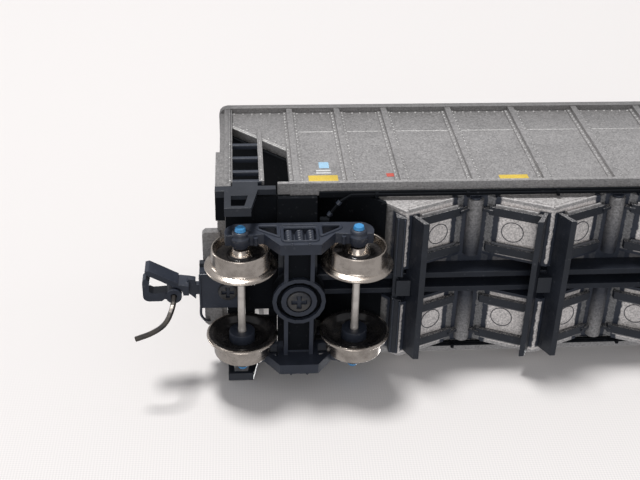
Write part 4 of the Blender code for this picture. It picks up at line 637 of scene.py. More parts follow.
# Metals: base colour, stain, how much of it, scale of the roughness, depth of the bump, metallic, and whether
# the lathe's marks follow the piece's own map.
METALS = {
    "wheel_metal": ("nickel", "nickel_stain", 0.75, 0.62, 0.000012, 1.0, True),
    "wheel_black": ("blackened", "nickel_stain", 0.07, 0.4, 0.000008, 0.3, True),
    "axle_steel": ("axle", "nickel_stain", 0.35, 1.0, 0.00002, 0.7, True),
    "pin_steel": ("gun_metal", "black", 0.6, 1.0, 0.00002, 0.9, False),
    "screw_steel": ("screw", "black", 0.8, 1.0, 0.00003, 0.5, False),
}


@made_once
def metal_of(wires, place, base, stain, amount, polish, depth, metallic, mapped):
    """Metal that was turned or drawn, and handled since."""
    turning = wires.value("UVMap", uv_map="turning") if mapped else place
    made = wires.use(turned_metal(), place, turning, colour(base), colour(stain), amount)
    return surface(wires, made, depth, metallic, rough=wires.times(made["Roughness"], polish))


def metal(name):
    """One of the metals of the table."""
    return metal_of(name, *METALS[name])


@made_once
def enamel(wires, place, base, patchy=0.35):
    """A brushed or printed patch of one colour, thin enough to show what is under it."""
    grain = flakes(wires, place, base, 0.1, 7600.0)
    worn = wires.spread(wires.noise(place, 2600.0, 3.0, 0.7), 0.62, 0.74, 0.0, patchy)
    mixed = wires.blend(worn, grain["Color"], colour("silver"))
    return surface(wires, grain, 0.00002, 0.0, mixed, coat=0.1)


@made_once
def cloth(wires, place):
    """White cloth: a fine weave of raised threads, seen from its front only."""
    x, _, z = wires.axes(place)
    warp, weft = (
        wires.math("SINE", wires.times(wires.math(how, x, z), THREADS)) for how in ("ADD", "SUBTRACT")
    )
    weave = wires.times(warp, weft)
    depth = wires.spread(z, -0.012, 0.010, 0.09, 0.0)
    level = wires.plus(wires.times(weave, depth), 1.0)
    threads = wires.scaled(colour("cloth")[:3], level)
    diffuse = wires.value("BsdfDiffuse", {"Color": threads})
    clear = wires.value("BsdfTransparent")
    back = wires.add("NewGeometry").outputs["Backfacing"]
    return wires.value("MixShader", {0: back, 1: diffuse, 2: clear})


# ================================================================ sizes and colours that a user may change
def length(name, text, value):
    return bpy.props.FloatProperty(name=name, description=text, default=value, unit="LENGTH", precision=6)


def colour_of(name, text, value):
    return bpy.props.FloatVectorProperty(
        name=name, description=text, default=value, subtype="COLOR", size=3, min=0.0, max=1.0
    )


class HopperSizes(bpy.types.PropertyGroup):
    """Sizes of the added trim."""

    rivet_radius: length("Rivet Radius", "Radius of a rivet head on the sides", 0.000115)
    rivet_height: length("Rivet Height", "Height of a rivet head", 0.0001)
    rivet_pitch: length("Rivet Pitch", "Distance between rivets along a post", 0.00072)
    flange_width: length("Post Flange Width", "Width of the flange under each side post", 0.00145)
    flange_depth: length("Post Flange Depth", "How far the post flange stands off the sheet", 0.00012)
    weld_height: length("Weld Height", "Height above the flanges' plane of the weld along the sides", 0.0205)
    weld_radius: length("Weld Radius", "Radius of the weld bead", 0.000045)
    spring_wire: length("Spring Wire", "Radius of the wire of the truck springs", 0.00009)
    spring_radius: length("Spring Radius", "Radius of the truck springs", 0.00036)
    lip_radius: length("Casting Lip", "Radius of the raised lip round the side frame's openings", 0.00016)


class HopperColours(bpy.types.PropertyGroup):
    """Colours of the finishes."""

    silver: colour_of("Silver", "Paint of the sides", (0.306, 0.295, 0.291))
    # Painted highlight: the lighter silver of rivets, welds, ridges and edges.
    silver_bright: colour_of("Bright Silver", "Rubbed rivets, welds and edges", (0.55, 0.54, 0.525))
    silver_floor: colour_of("Bay Silver", "Thicker paint of the bays' side plates", (0.46, 0.44, 0.43))
    # Partly painted light: the doors' paler silver stands for the light they catch.
    silver_door: colour_of("Door Silver", "Thick warm paint of the doors", (0.77, 0.72, 0.69))
    # Painted shade: the dim silver between the bays and past the outermost seams.
    silver_dim: colour_of("Dim Silver", "Thin overspray between the bays", (0.19, 0.187, 0.188))
    black: colour_of("Black", "Moulded black plastic", (0.024, 0.029, 0.043))
    black_frame: colour_of("Frame Black", "Darker black of beams and end frames", (0.015, 0.018, 0.0255))
    # Painted shade: the near black of the trucks' channels, the end recesses and the pipe rails.
    black_deep: colour_of("Deep Black", "Black plastic in the trucks' channels", (0.005, 0.006, 0.008))
    dust: colour_of("Dust", "Fine dust on the black pieces", (0.16, 0.16, 0.17))
    nickel: colour_of("Nickel", "Plated wheels", (0.64, 0.565, 0.495))
    nickel_stain: colour_of("Nickel Stain", "Dulled patches of the wheels", (0.36, 0.31, 0.27))
    blackened: colour_of("Blackened Metal", "Dish of the wheels", (0.022, 0.021, 0.022))
    axle: colour_of("Axle", "Bare axles", (0.90, 0.83, 0.76))
    gun_metal: colour_of("Gun Metal", "Trip pins", (0.13, 0.115, 0.10))
    screw: colour_of("Screw Steel", "Heads of the screws", (0.085, 0.080, 0.076))
    blue: colour_of("Cap Blue", "Bearing caps", (0.045, 0.25, 0.52))
    yellow: colour_of("Yellow", "Yellow side patches", (0.66, 0.47, 0.06))
    pale_blue: colour_of("Pale Blue", "Pale blue side patch", (0.34, 0.55, 0.72))
    white: colour_of("White", "White side patch", (0.62, 0.62, 0.61))
    red: colour_of("Red", "Red side patch", (0.52, 0.08, 0.055))
    cloth: colour_of("Cloth", "Backdrop cloth", (0.71, 0.683, 0.668))


# ================================================================ pieces
def soften(solid):
    """Joins the solid's corners and rounds its sharp edges, as paint and moulding leave them."""
    weld = solid.modifiers.new("corners", "WELD")
    weld.merge_threshold = 0.000002
    bevel = solid.modifiers.new("edges", "BEVEL")
    bevel.width = 0.00006
    bevel.segments = 2
    bevel.limit_method = "ANGLE"
    bevel.angle_limit = math.radians(38)
    bevel.use_clamp_overlap = True
    bevel.harden_normals = False


class HOPPER_OT_solids(bpy.types.Operator):
    """Gives each solid that stays its finish"""

    bl_idname = "hopper.solids"
    bl_label = "Finish the Solids"

    def execute(self, context):
        chosen = {
            "body_shell": silver_paint(),
            "hopper_floor": silver_rough(),
            "trip_pin": metal("pin_steel"),
            "bearing_cap": enamel("cap_blue", "blue", 0.2),
            "ladder": ladder_paint(),
            "door_frame": black_with_spray_highlights(),
            "truck_frame": plastic("truck_black"),
            "end_frame": plastic("end_black"),
            "pipe_rail": plastic("pipe_black"),
            "centre_sill": plastic("sill_black"),
        }
        for name, solid in frame["nodes"].items():
            if name.startswith(TURNED_AGAIN):
                continue
            found = [value for start, value in chosen.items() if name.startswith(start)]
            solid.data.materials.clear()
            solid.data.materials.append(found[0] if found else plastic())
            if not name.startswith(KEPT_SHARP):
                soften(solid)
        return {"FINISHED"}


def wheel_section(bore, insulated):
    """A wheel's section as (radius, distance from its inner face), and 1 for each point that is blackened.

    The rim is a flange that turns into a slightly coned tread. Both faces are dished down to a thin web, and
    an insulated wheel's web stops at its bush.
    """
    inner = [(bore, 0.0), (0.0011, 0.0), (0.00125, 0.0003), (0.00135, 0.00072), (0.0021, 0.00078)]
    flange = [(0.00243, 0.00055), (0.00285, 0.00002), (0.0033, 0.0), (0.00347, 0.0001), (0.0035, 0.0002)]
    tread = [(0.00345, 0.00032), (0.0032, 0.00044), (0.00294, 0.00052), (0.00286, 0.00066)]
    tread += [(0.00278, 0.00212)]
    outer = [(0.00275, 0.0022), (0.00258, 0.0022), (0.0025, 0.0021), (0.0023, 0.00142), (0.0012, 0.00136)]
    hub = [(0.00098, 0.0016), (0.00072, 0.00212), (bore, 0.0022)]
    if insulated:
        inner, outer, hub = [(bore, 0.00072), inner[-1]], outer[:-1], [(bore, 0.00138)]
    dark = [1] * (len(inner) + 2) + [0] * (len(flange) - 2 + len(tread) + 3)
    dark += [1] * (len(outer) - 3) + [int(insulated)] * len(hub)
    return inner + flange + tread + outer + hub, dark


def turned_piece(
    name, stands_for, body, profile, centre, finishes, slot="nickel", side=1, dark=None, steps=96, around=True
):
    """A turned piece in place of a solid: rows go round the axis, and columns follow the profile.

    Its map says how far round a face's corner is, and how far along the profile. dark marks the profile's
    blackened points, and around is False where the profile starts and ends on the axis.
    """
    profile = np.asarray(profile, float)
    columns = len(profile)
    faces = quads_of(steps, columns, around, ring=True)
    row, column = np.divmod(faces, columns)
    past = (np.ptp(row, axis=1)[:, None] > 1) & (row == 0)
    uv = np.stack([np.where(past, steps, row) / steps, column / columns], axis=-1)
    shade = None if dark is None else dark[column[:, 0]]
    grid = turned(profile, steps, centre, side).reshape(-1, 3)
    made = piece(name, body, (grid, faces), finishes, slot, shade, uv, 32)
    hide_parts(stands_for)


def wheel(label, body, place, side, insulated):
    """A flanged wheel with its hub, or with a wide bore round a bush."""
    section, dark = wheel_section(0.00132 if insulated else 0.00039, insulated)
    profile = rounded(section, 0.00006, 2, closed=True)
    dark = np.repeat(dark, len(profile) // len(section))
    centre = (place[0], side * HALF_BACK_TO_BACK, place[2])
    finishes = [metal("wheel_metal"), metal("wheel_black")]
    names = f"turned_wheel_{label}", f"wheel_{label}", body
    turned_piece(*names, profile, centre, finishes, side=side, dark=dark)


def axle(label, place):
    """A stepped shaft with pointed ends, the same on both sides of its middle."""
    half = [(0.00037, 0.0), (0.00037, 0.003), (0.0004, 0.0034), (0.00038, 0.0062), (0.0003, 0.0065)]
    half += [(0.0, 0.00704)]
    profile = [(r, -d) for r, d in reversed(half[1:])] + half
    names = f"turned_axle_{label}", f"axle_{label}", f"wheelset_{label}"
    turned_piece(*names, profile, place, metal("axle_steel"), steps=48, around=False)


def bush(label, place):
    """A tapered sleeve between the axle and the insulated wheel."""
    low, high = -0.0002, 0.00215
    corners = [(0.00042, low), (0.00126, low), (0.0013, 0.0012), (0.00085, high), (0.00042, high)]
    centre = (place[0], HALF_BACK_TO_BACK, place[2])
    names = f"insulating_bush_{label}", f"axle_bush_{label}", f"wheelset_{label}"
    turned_piece(*names, rounded(corners, 0.00012, 3, True), centre, plastic(), "black", steps=64)


class HOPPER_OT_wheels(bpy.types.Operator):
    """Turns the wheels, their insulating bushes and the axles"""

    bl_idname = "hopper.wheels"
    bl_label = "Turn the Wheels"

    def execute(self, context):
        for label in [end + number for end in ENDS for number in "12"]:
            place = JOINTS[f"wheelset_{label}_spin"]["pos_m"]
            for name, side in SIDES.items():
                wheel(f"{label}_{name}", f"wheelset_{label}", place, side, name == "left")
            axle(label, place)
            bush(label, place)
        return {"FINISHED"}


def flange_span(sizes, x):
    """Where a post's flange starts and ends along the car: the outermost stop at the slope sheets."""
    half = sizes.flange_width / 2
    limit = TRUCK_X + 0.00068
    return max(x - half, -limit), min(x + half, limit)


def flanges(sizes, side):
    """A flat strip with softened edges, carried up each post."""
    depth = sizes.flange_depth
    y = side * (SHEET_Y + depth / 2 - 0.00002)
    for low, high in [flange_span(sizes, x) for x in POST_XS]:
        x = (low + high) / 2
        outline = oblong(high - low, depth + 0.00004, 0.00005)
        yield straight(outline, (x, y, 0.00842), (x, y, CHORD_BOTTOM + 0.0001), (0, side, 0))


def welds(sizes, side):
    """A half-sunk bead between neighbouring flanges, its height wavering like a laid weld."""
    half = sizes.flange_width / 2
    for one, two in zip(POST_XS, POST_XS[1:]):
        x = np.linspace(one + half, two - half, 40)
        waver = 0.000014 * np.sin(x * 9000 + one * 700) + 0.00001 * np.sin(x * 23000)
        path = places(x, side * SHEET_Y, sizes.weld_height + waver)
        yield carried(circle(sizes.weld_radius), path, UP)


def slope_ends(side):
    """The upper and lower end of each slope sheet's flange, as points on the side sheet."""
    drop = np.array([0.0, SLOPE_DROP])
    y = side * (SHEET_Y + 0.00004)
    return [places(sign * (SLOPE_TOP - drop), y, SLOPE_TOP_Z - drop) for sign in ENDS.values()]


def strips(side):
    """The flange of each slope sheet: a flat strip carried down the slope."""
    outline = oblong(0.00098, 0.00016, 0.00005)
    return [straight(outline, *ends, (0, side, 0)) for ends in slope_ends(side)]


def ridges(side):
    """Two round ridges carried down each slope's flange, one at its lower edge."""
    for ends in slope_ends(side):
        for out, drop, radius in ((0.00009, 0.0006, 0.00008), (0.00008, 0.0002, 0.00006)):
            yield straight(circle(radius), *(ends + (0, side * out, -drop)), (0, side, 0))


def sill_highlights(side):
    """Painted highlight along the top edge of each side sill: a fine round bead of the lighter silver carried
    along it.
    """
    x = np.linspace(-1, 1, 60) * (TRUCK_X + 0.0018)
    path = places(x, side * 0.01021, 0.00837 + 0.000008 * np.sin(x * 4100))
    return [carried(circle(0.000045), path, UP)]


def rivets(sizes, side):
    """Rows of domed heads: up both edges of each flange, under the chord and down the slopes."""
    edge = sizes.flange_width / 2 - 0.00017
    rows = np.arange(0.009, 0.0249, sizes.rivet_pitch)
    spots = []
    for x in POST_XS:
        low, high = flange_span(sizes, x)
        for column in (max(low + 0.00014, x - edge), min(high - 0.00014, x + edge)):
            spots.append(places(column, side * (SHEET_Y + sizes.flange_depth), rows))
    for one, two in zip(POST_XS, POST_XS[1:]):
        count = max(3, int(round((two - one) / 0.00092)))
        spots.append(places(np.linspace(one, two, count + 1)[1:-1], side * SHEET_Y, TOP_ROW_Z))
    for sign in ENDS.values():
        x = TRUCK_X + np.linspace(0.0011, 0.006, 6)
        spots.append(places(sign * x, side * SHEET_Y, TOP_ROW_Z))
        x = TRUCK_X + np.linspace(0.001, 0.0061, 8)
        spots.append(places(sign * x, side * (SHEET_Y + 0.00012), SLOPE_TOP_Z + x - SLOPE_TOP + 0.0004))
    head, faces = stud(sizes.rivet_radius, sizes.rivet_height, (0, side, 0))
    return [many(head, faces, np.concatenate(spots))]


class HOPPER_OT_side_work(bpy.types.Operator):
    """Adds the post flanges, welds, slope strips and rivets of the two sides"""

    bl_idname = "hopper.side_work"
    bl_label = "Rivet the Sides"

    def execute(self, context):
        sizes = context.scene.hopper_sizes
        # The welds, slope ridges, sill edges and rivets take the painted highlight.
        for name, side in SIDES.items():
            piece(f"post_flanges_{name}", "car", flanges(sizes, side), silver_paint())
            piece(f"side_welds_{name}", "car", welds(sizes, side), painted_highlights())
            piece(f"slope_strips_{name}", "car", strips(side), silver_paint())
            piece(f"slope_ridges_{name}", "car", ridges(side), painted_highlights())
            piece(f"sill_highlights_{name}", "car", sill_highlights(side), painted_highlights())
            piece(f"side_rivets_{name}", "car", rivets(sizes, side), painted_highlights())
        return {"FINISHED"}


def patch(x, side, z, width, height):
    """A thin plate with rounded corners standing on the side sheet: an outline that shrinks at both ends."""
    outline = oblong(height, 0.00003, 0.00001)
    step = np.array([-1.0, -1.0, -0.97, 0.97, 1.0, 1.0])[:, None]
    grow = np.array([0.0, 0.90, 1.0, 1.0, 0.90, 0.0])[:, None]
    out = np.where(grow > 0, outline[:, 1], 0.0)
    grid = places(x + step * width / 2, side * (SHEET_Y + 0.00001 + out), z + outline[:, 0] * grow)
    return grid.reshape(-1, 3), quads_of(len(step), len(outline))


class HOPPER_OT_patches(bpy.types.Operator):
    """Adds the plain coloured patches on both sides"""

    bl_idname = "hopper.patches"
    bl_label = "Paint the Patches"

    def execute(self, context):
        # Each patch's distance inboard of the truck's centre, height of its middle, width and height.
        rows = {
            "yellow": [(0.00265, 0.0101, 0.0029, 0.0013), (0.02155, 0.00988, 0.0029, 0.00092)],
            "pale_blue": [(0.0029, 0.0129, 0.001, 0.0013)],
            "white": [(0.00278, 0.01175, 0.00145, 0.00028), (0.00278, 0.01125, 0.0015, 0.00026)],
            "red": [(0.00945, 0.01065, 0.00101, 0.0007)],
        }
        for name, side in SIDES.items():
            for paint, spots in rows.items():
                parts = [patch(side * (TRUCK_X - inboard), side, *rest) for inboard, *rest in spots]
                piece(f"patch_{paint}_{name}", "car", parts, enamel(f"patch_{paint}", paint))
        return {"FINISHED"}


def springs(sizes, pivot, side):
    """Coils: a circle of wire carried along a helix that rises evenly as it turns."""
    turns, low, high = 5, 0.00205, 0.0041
    t = np.linspace(0, 1, turns * 14)
    x = sizes.spring_radius * np.cos(2 * math.pi * turns * t)
    y = sizes.spring_radius * np.sin(2 * math.pi * turns * t)
    for along in (-0.00104, 0.0, 0.00104):
        path = places(pivot + along + x, side * (SIDE_FRAME_FACE - 0.00048) + y, low + (high - low) * t)
        yield carried(circle(sizes.spring_wire, 6), path, UP)


def lips(sizes, pivot, side):
    """A round lip carried round each opening of the side frame, along its outer face."""
    window = np.array([(0.002, 0.0047), (0.00395, 0.0047), (0.00395, 0.0041), (0.002, 0.0027)])
    nest = np.array([(-0.00165, 0.0043), (0.00165, 0.0043), (0.00165, 0.00185), (-0.00165, 0.00185)])
    for corners in (window * (-1, 1), window, nest):
        loop = places(pivot + corners[:, 0], side * SIDE_FRAME_FACE, corners[:, 1])
        path = rounded(loop, 0.00042, 5, closed=True)
        yield carried(circle(sizes.lip_radius), path, (0, 1, 0), ring=True)


def housings(pivot, side):
    """Each bearing's stepped housing: a hollow profile turned round the axle's line."""
    bore = 0.0005
    inner = [(bore, 0.0061), (0.00066, 0.0061), (0.0007, 0.00632), (0.00095, 0.0064), (0.00098, 0.00718)]
    outer = [(0.00082, 0.00734), (0.00079, 0.00766), (0.00062, 0.00779), (bore, 0.00779)]
    profile = rounded(inner + outer, 0.00007, 2, closed=True)
    for sign in (-1, 1):
        grid = turned(profile, 48, (pivot + sign * WHEELBASE / 2, 0, AXLE_Z), side)
        yield grid.reshape(-1, 3), quads_of(48, len(profile), True, True)


def ribs(pivot, side):
    """Bars and knobs of the casting: two over the springs, a shelf under them, and a lug by each bearing."""
    face = side * SIDE_FRAME_FACE
    bar, shelf = oblong(0.00013, 0.0002, 0.00005), oblong(0.0004, 0.0003, 0.0001)
    for shape, inset, z, reach in (
        (bar, 0.0, 0.00455, 0.0015),
        (bar, 0.0, 0.00486, 0.00165),
        (shelf, 0.0002, 0.00205, 0.00155),
    ):
        y = face - side * inset
        yield straight(shape, (pivot - reach, y, z), (pivot + reach, y, z), UP)
    head, faces = stud(0.00016, 0.00018, (0, side * 0.6, -0.8))
    yield many(head, faces, places(pivot + np.array([-0.0008, 0.0008]), face, 0.00132))
    lug = rounded(oblong(0.0004, 0.00075, 0.00018), 0.0001, 1, True)
    for sign in (-1, 1):
        x = pivot + sign * (WHEELBASE / 2 - 0.00142)
        yield straight(lug, (x, side * 0.0065, 0.00318), (x, side * 0.0073, 0.00318), UP)


class HOPPER_OT_truck_work(bpy.types.Operator):
    """Adds the springs, casting lips and bearing work of the trucks"""

    bl_idname = "hopper.truck_work"
    bl_label = "Detail the Trucks"

    def execute(self, context):
        sizes = context.scene.hopper_sizes
        for label, end, sign, side in CORNERS:
            body = f"truck_{end}"
            pivot = sign * TRUCK_X
            piece(f"truck_springs_{label}", body, springs(sizes, pivot, side), plastic(), "black")
            piece(f"casting_lips_{label}", body, lips(sizes, pivot, side), plastic("casting_black"), "black")
            piece(f"bearing_housings_{label}", body, housings(pivot, side), plastic(), "black")
            piece(f"frame_ribs_{label}", body, ribs(pivot, side), plastic(), "black")
        return {"FINISHED"}


def screw_head(low, high):
    """A pan head with its shank: rings in polar form, pressed in where two rounded slots cross.

    The press is the greater of two slots, each a smooth step across its width times one along its length.
    The faces in the cross are marked for black: painted shade in the recess.
    """
    radius = (high.x - low.x) / 2
    tall = high.z - low.z
    inner = np.linspace(0.0, 0.9, 40)
    reach = np.concatenate([inner, [0.97, 1.0, 1.0, 0.42, 0.42, 0.0]]) * radius
    rise = np.concatenate([0.00006 * (inner / 0.9) ** 4, [0.00011, 0.0002, 0.00042, 0.00042, tall, tall]])
    x, y = (np.outer(reach, axis) for axis in circle(1.0, 96).T)
    half, arm, soft = radius * 0.17, radius * 0.66, radius * 0.05

    def slot(across, along):
        wide = half * (1.0 + 0.35 * np.abs(along) / arm)
        return np.clip((wide - np.abs(across)) / soft, 0, 1) * np.clip((arm - np.abs(along)) / soft, 0, 1)

    press = np.maximum(slot(x, y), slot(y, x))
    press[len(inner) :] = 0.0
    faces = quads_of(*press.shape)
    # Painted shade: the faces in the cross are marked for the black finish.
    marks = press.reshape(-1)[faces].mean(axis=1) > 0.3
    middle = (low + high) / 2
    points = places(x + middle.x, y + middle.y, low.z + rise[:, None] + 0.00028 * press)
    return points.reshape(-1, 3), faces, marks


class HOPPER_OT_screws(bpy.types.Operator):
    """Turns the four screws with their driver's crosses, painted black as shade in the recess"""

    bl_idname = "hopper.screws"
    bl_label = "Cut the Screws"

    def execute(self, context):
        for name in [f"{kind}_screw_{end}" for end in ENDS for kind in ("truck", "coupler")]:
            points, faces, marks = screw_head(*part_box(name))
            finishes = [metal("screw_steel"), plastic()]
            made = piece(f"cut_{name}", "car", (points, faces), finishes, "black", marks)
            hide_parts(name)
        return {"FINISHED"}


def collars(side):
    """Two short sleeves on the pipe's slanting run."""
    start = np.array([-(TRUCK_X - 0.0046), side * 0.00915, 0.00756])
    end = np.array([-(TRUCK_X - 0.0026), side * 0.0066, 0.0071])
    half = (end - start) / np.linalg.norm(end - start) * 0.0002
    middles = [start + (end - start) * share for share in (0.30, 0.74)]
    return [straight(circle(0.00025, 12), middle - half, middle + half, UP) for middle in middles]


def deck(sign, side):
    """Flat plates between the end platform and the bolster, carried outward, with one opening left free."""
    for near, far, low, high in DECK_PLATES:
        x = sign * (TRUCK_X + (near + far) / 2)
        ends = (x, side * low, DECK_Z), (x, side * high, DECK_Z)
        yield straight(oblong(far - near, 0.0004, 0.0001), *ends, UP)


def lip(sign):
    """A rounded bar across the lower edge of the draft box's mouth."""
    x = sign * (TRUCK_X + 0.00955)
    return [straight(oblong(0.0002, 0.0003, 0.00006), (x, -0.00195, 0.005), (x, 0.00195, 0.005), UP)]


def lever(sign):
    """A bent rod from the draft box to the corner of the end frame."""
    x = sign * (TRUCK_X + np.array([0.00955, 0.00962, 0.0092, 0.0088]))
    y = -sign * np.array([0.002, 0.0031, 0.0044, 0.005])
    path = rounded(places(x, y, [0.0052, 0.0055, 0.0063, 0.0072]), 0.0005, 5)
    return [carried(circle(0.00013), path, (0, 0.6, 0.8))]


class HOPPER_OT_pipe_work(bpy.types.Operator):
    """Adds the collars of the air pipes, the draft boxes' lips, the cut levers and the decks' inner plates"""

    bl_idname = "hopper.pipe_work"
    bl_label = "Fit the Pipes and Levers"

    def execute(self, context):
        for name, side in SIDES.items():
            piece(f"pipe_collars_{name}", "car", collars(side), plastic(), "black")
        for end, sign in ENDS.items():
            piece(f"box_lip_{end}", "car", lip(sign), plastic(), "black")
            piece(f"cut_lever_{end}", "car", lever(sign), plastic(), "black")
            for name, side in SIDES.items():
                piece(f"deck_plates_{end}_{name}", "car", deck(sign, side), plastic("end_black"), "black")
        return {"FINISHED"}


def all_doors():
    """Each door as its seam and the way it rises. The outermost seams have a slope sheet on one side."""
    for x in SEAM_XS:
        for toward in (-1, 1):
            if x * toward <= 0 or abs(x) <= LONG_PANEL * 3:
                yield x, toward


def over(door, along, y, above):
    """Points over a door: how far from its seam, how far across, and how high over its plane."""
    x, toward = door
    along = np.asarray(along, float)
    return places(x + toward * along, y, SEAM_Z + along * DOOR_RISE + np.asarray(above, float))


def edges(side):
    """A square rib carried along the lower edge of each bay's side plate, and one beside it."""
    for door in all_doors():
        for lift, size in ((0.00014, 0.00028), (0.00062, 0.0001)):
            ends = over(door, [0.00005, 0.0051], side * BAY_Y, lift - 0.00005 * DOOR_RISE)
            yield straight(oblong(size * 0.9, size, size * 0.3), *ends, (0, 1, 0))


def pin_mark_shade(side):
    """Painted shade: a fine black ring lying on each door, standing for the shadow in the groove where the
    mould's ejector pin pressed.
    """
    u, v = circle(0.00108, 40).T
    for door in all_doors():
        place = over(door, 0.0034 + u * math.cos(DOOR_ANGLE), side * 0.0051 + v, -0.00003)
        normal = (door[1] * math.sin(DOOR_ANGLE), 0, -math.cos(DOOR_ANGLE))
        yield carried(circle(0.00004, 6), place, normal, ring=True)


def shoulders(y):
    """A rounded strip carried along the outward edge of each bar, where the spray has settled."""
    outline = rounded(oblong(0.00026, 0.0004, 0.00008), 0.00006, 1, True)
    ends = [over(door, [0.0014, 0.0052], y, -0.00024) for door in all_doors()]
    return [straight(outline, *pair, (0, 1, 0)) for pair in ends]


def hooks(side):
    """A short bent finger at the upper end of each outer bar."""
    for door in all_doors():
        along, above = [0.0054, 0.0063, 0.0066, 0.0066], [-0.0004, -0.0003, 0.0001, 0.0005]
        corners = over(door, along, side * 0.0073, above)
        yield carried(oblong(0.0006, 0.00034, 0.0001), rounded(corners, 0.0003, 4), (0, 1, 0))


def tubes(side):
    """A round tube carried across each peak between two bays."""
    for one, two in zip(SEAM_XS, SEAM_XS[1:]):
        ends = places((one + two) / 2, np.array([0.0021, 0.0084]) * side, 0.00795)
        yield straight(circle(0.00078, 24), *ends, UP)


def slope_ribs(side):
    """Two thin ribs along the channel beside each outermost seam."""
    for sign in ENDS.values():
        for reach, z in ((0.00028, 0.00478), (0.0009, 0.00498)):
            x = sign * (SEAM_XS[-1] + reach)
            ends = (x, side * 0.0015, z), (x, side * 0.0079, z)
            yield straight(oblong(0.00016, 0.0003, 0.00005), *ends, UP)


def ladder_work(label, sign, side):
    """A step for each rung, ridges along the stile and the corner post, and a domed bolt at each crossing."""
    low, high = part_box(f"ladder_{label}")
    face = high.y if side > 0 else low.y
    stile = (high.x if sign < 0 else low.x) + sign * LADDER_STILE / 2
    corner = sign * CORNER_POST_X
    near, far = (places(x, side * (POST_Y - 0.00022), RUNG_ZS) for x in (stile, sign * (TRUCK_X + 0.00628)))
    outline = oblong(0.0005, 0.0005, 0.00012)
    steps = [straight(outline, *ends, UP) for ends in zip(near, far)]
    piece(f"ladder_steps_{label}", "car", steps, plastic(), "black")
    edgings = []
    for x, y, start, end in ((stile, face, 0.009, 0.0202), (corner, side * POST_Y, 0.0086, 0.025)):
        for edge in (-0.00018, 0.00018):
            ends = (x + edge, y, start), (x + edge, y, end)
            edgings.append(straight(circle(0.00007), *ends, (0, 1, 0)))
    piece(f"ladder_ridges_{label}", "car", edgings, silver_paint())
    # The bolts take the painted highlight.
    head, faces = stud(0.00011, 0.0001, (0, side, 0))
    spots = np.concatenate([places(stile, face, RUNG_ZS), places(corner, side * POST_Y, RUNG_ZS)])
    piece(f"ladder_bolts_{label}", "car", [many(head, faces, spots)], painted_highlights())


class HOPPER_OT_bay_work(bpy.types.Operator):
    """Adds the raised edges, the black rings of painted shade at the ejector pins' grooves and the bar hooks
    of the bays, and the bolts of the ladders
    """

    bl_idname = "hopper.bay_work"
    bl_label = "Detail the Bays"

    def execute(self, context):
        for name, side in SIDES.items():
            piece(f"bay_edges_{name}", "car", edges(side), silver_rough())
            piece(f"ejector_ring_shade_{name}", "car", pin_mark_shade(side), plastic(), "black")
            piece(f"bar_hooks_{name}", "car", hooks(side), black_with_spray_highlights(), "black")
            piece(f"outer_shoulders_{name}", "car", shoulders(side * (0.00775 + 0.00007)), silver_paint())
            # The inner shoulders and cross tubes take the painted shade towards the centre sill.
            piece(f"inner_shoulders_{name}", "car", shoulders(side * (0.0035 + 0.00007)), tube_paint_shaded())
            piece(f"cross_tubes_{name}", "car", tubes(side), tube_paint_shaded())
            piece(f"slope_ribs_{name}", "car", slope_ribs(side), plastic(), "black")
        for label, _, sign, side in CORNERS:
            ladder_work(label, sign, side)
        return {"FINISHED"}


def turned_to(right, top, ahead, place):
    """The matrix of a camera or lamp that looks ahead from a place."""
    return Matrix.Translation(place) @ Matrix([[right[i], top[i], -ahead[i]] for i in range(3)]).to_4x4()


def sheet(name, finish_name, points):
    """A flat piece of cloth that takes shade and throws none."""
    mesh = bpy.data.meshes.new(name)
    mesh.from_pydata(points, [], [(0, 1, 2, 3)])
    mesh.materials.append(cloth(finish_name))
    made = bpy.data.objects.new(name, mesh)
    bpy.context.scene.collection.objects.link(made)
    made.visible_shadow = False
    made.visible_diffuse = False
    made.visible_glossy = False


def set_world():
    """A pale room: one colour to the camera, and a colder light on the car."""
    world = bpy.data.worlds.new("pale_room")
    world.use_nodes = True
    bpy.context.scene.world = world
    wires = Wiring(world.node_tree)
    rays = wires.add("LightPath").outputs
    seen = wires.value("Background", {"Color": (0.30, 0.291, 0.297, 1.0), "Strength": 1.0})
    light = wires.value("Background", {"Color": (0.95, 0.96, 1.0, 1.0), "Strength": 0.44})
    mixed = wires.value("MixShader", {0: rays["Is Camera Ray"], 1: light, 2: seen})
    wires.add("OutputWorld", {"Surface": mixed})


def set_lamps():
    """Round lamps that all look at the middle of the car: name, place, size and power."""
    for name, place, size, power in (
        ("key_lamp", (-0.13, -0.70, 0.12), 0.16, 4.5),
        ("front_lamp", (-0.10, -0.16, -0.46), 0.34, 0.62),
        ("back_lamp", (0.10, 0.36, 0.40), 0.40, 1.9),
        ("end_lamp_b", (0.45, -0.01, 0.15), 0.12, 0.5),
        ("end_lamp_a", (-0.45, 0.0, 0.15), 0.12, 0.3),
    ):
        lamp = bpy.data.lights.new(name, "AREA")
        lamp.shape = "DISK"
        lamp.size = size
        lamp.energy = power
        holder = bpy.data.objects.new(name, lamp)
        bpy.context.scene.collection.objects.link(holder)
        aim = -np.array(place) / np.linalg.norm(place)
        side = np.cross(aim, UP)
        side = side / np.linalg.norm(side)
        holder.matrix_world = turned_to(side, np.cross(side, aim), aim, place)


def set_camera():
    """A camera under the car that looks up at its near side."""
    view = bpy.data.cameras.new("camera")
    view.lens = 60.93
    view.sensor_width = 36.0
    view.clip_start = 0.005
    holder = bpy.data.objects.new("camera", view)
    bpy.context.scene.collection.objects.link(holder)
    axes = (0.99716, -0.02223, -0.07198), (0.01878, -0.85199, 0.52322), (0.07296, 0.52308, 0.84915)
    holder.matrix_world = turned_to(*axes, (-0.04432, -0.05993, -0.08304))
    bpy.context.scene.camera = holder
    bpy.context.scene.view_settings.view_transform = "Standard"


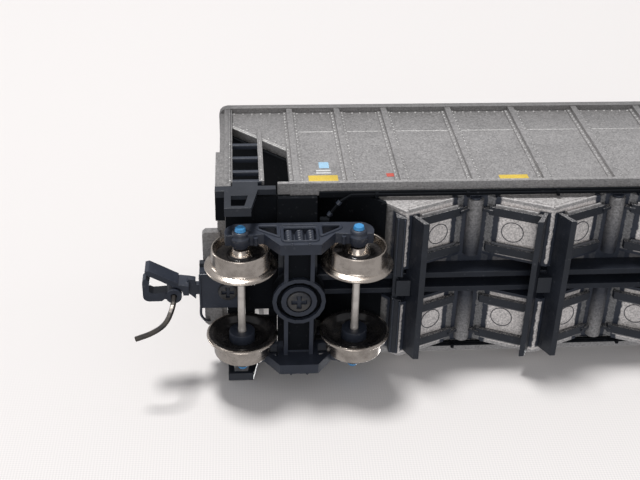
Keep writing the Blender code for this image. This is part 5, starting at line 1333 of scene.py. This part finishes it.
class HOPPER_OT_stage(bpy.types.Operator):
    """Lays the pale cloth, lights it softly and places the camera"""

    bl_idname = "hopper.stage"
    bl_label = "Set the Stage"

    def execute(self, context):
        for leftover in list(bpy.data.objects):
            if leftover.name in ("Cube", "Light", "Camera"):
                bpy.data.objects.remove(leftover, do_unlink=True)
        corners = [(-CLOTH_REACH, -CLOTH_REACH), (CLOTH_REACH, -CLOTH_REACH)]
        corners += [(-a, -b) for a, b in corners]
        sheet("backdrop_cloth", "backdrop_cloth", [(a, CLOTH_Y, b) for a, b in corners])
        sheet("floor", "floor_cloth", [(a, b, FLOOR_Z) for a, b in corners])
        set_world()
        set_lamps()
        set_camera()
        return {"FINISHED"}


class HOPPER_PT_panel(bpy.types.Panel):
    """Lists the steps that dress the car"""

    bl_idname = "HOPPER_PT_panel"
    bl_label = "Hopper Car"
    bl_space_type = "VIEW_3D"
    bl_region_type = "UI"
    bl_category = "Hopper Car"

    def draw(self, context):
        for kind in OPERATORS:
            self.layout.operator(kind.bl_idname)
        for group in (context.scene.hopper_sizes, context.scene.hopper_colours):
            for name in group.__annotations__:
                self.layout.prop(group, name)


OPERATORS = [
    HOPPER_OT_solids,
    HOPPER_OT_wheels,
    HOPPER_OT_side_work,
    HOPPER_OT_patches,
    HOPPER_OT_truck_work,
    HOPPER_OT_bay_work,
    HOPPER_OT_screws,
    HOPPER_OT_pipe_work,
    HOPPER_OT_stage,
]
CLASSES = [HopperSizes, HopperColours, *OPERATORS, HOPPER_PT_panel]


def register():
    for kind in CLASSES:
        bpy.utils.register_class(kind)
    bpy.types.Scene.hopper_sizes = bpy.props.PointerProperty(type=HopperSizes)
    bpy.types.Scene.hopper_colours = bpy.props.PointerProperty(type=HopperColours)


def unregister():
    del bpy.types.Scene.hopper_colours
    del bpy.types.Scene.hopper_sizes
    for kind in reversed(CLASSES):
        bpy.utils.unregister_class(kind)


def main():
    """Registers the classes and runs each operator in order."""
    register()
    for kind in OPERATORS:
        area, action = kind.bl_idname.split(".")
        getattr(getattr(bpy.ops, area), action)()


if __name__ == "__main__":
    main()
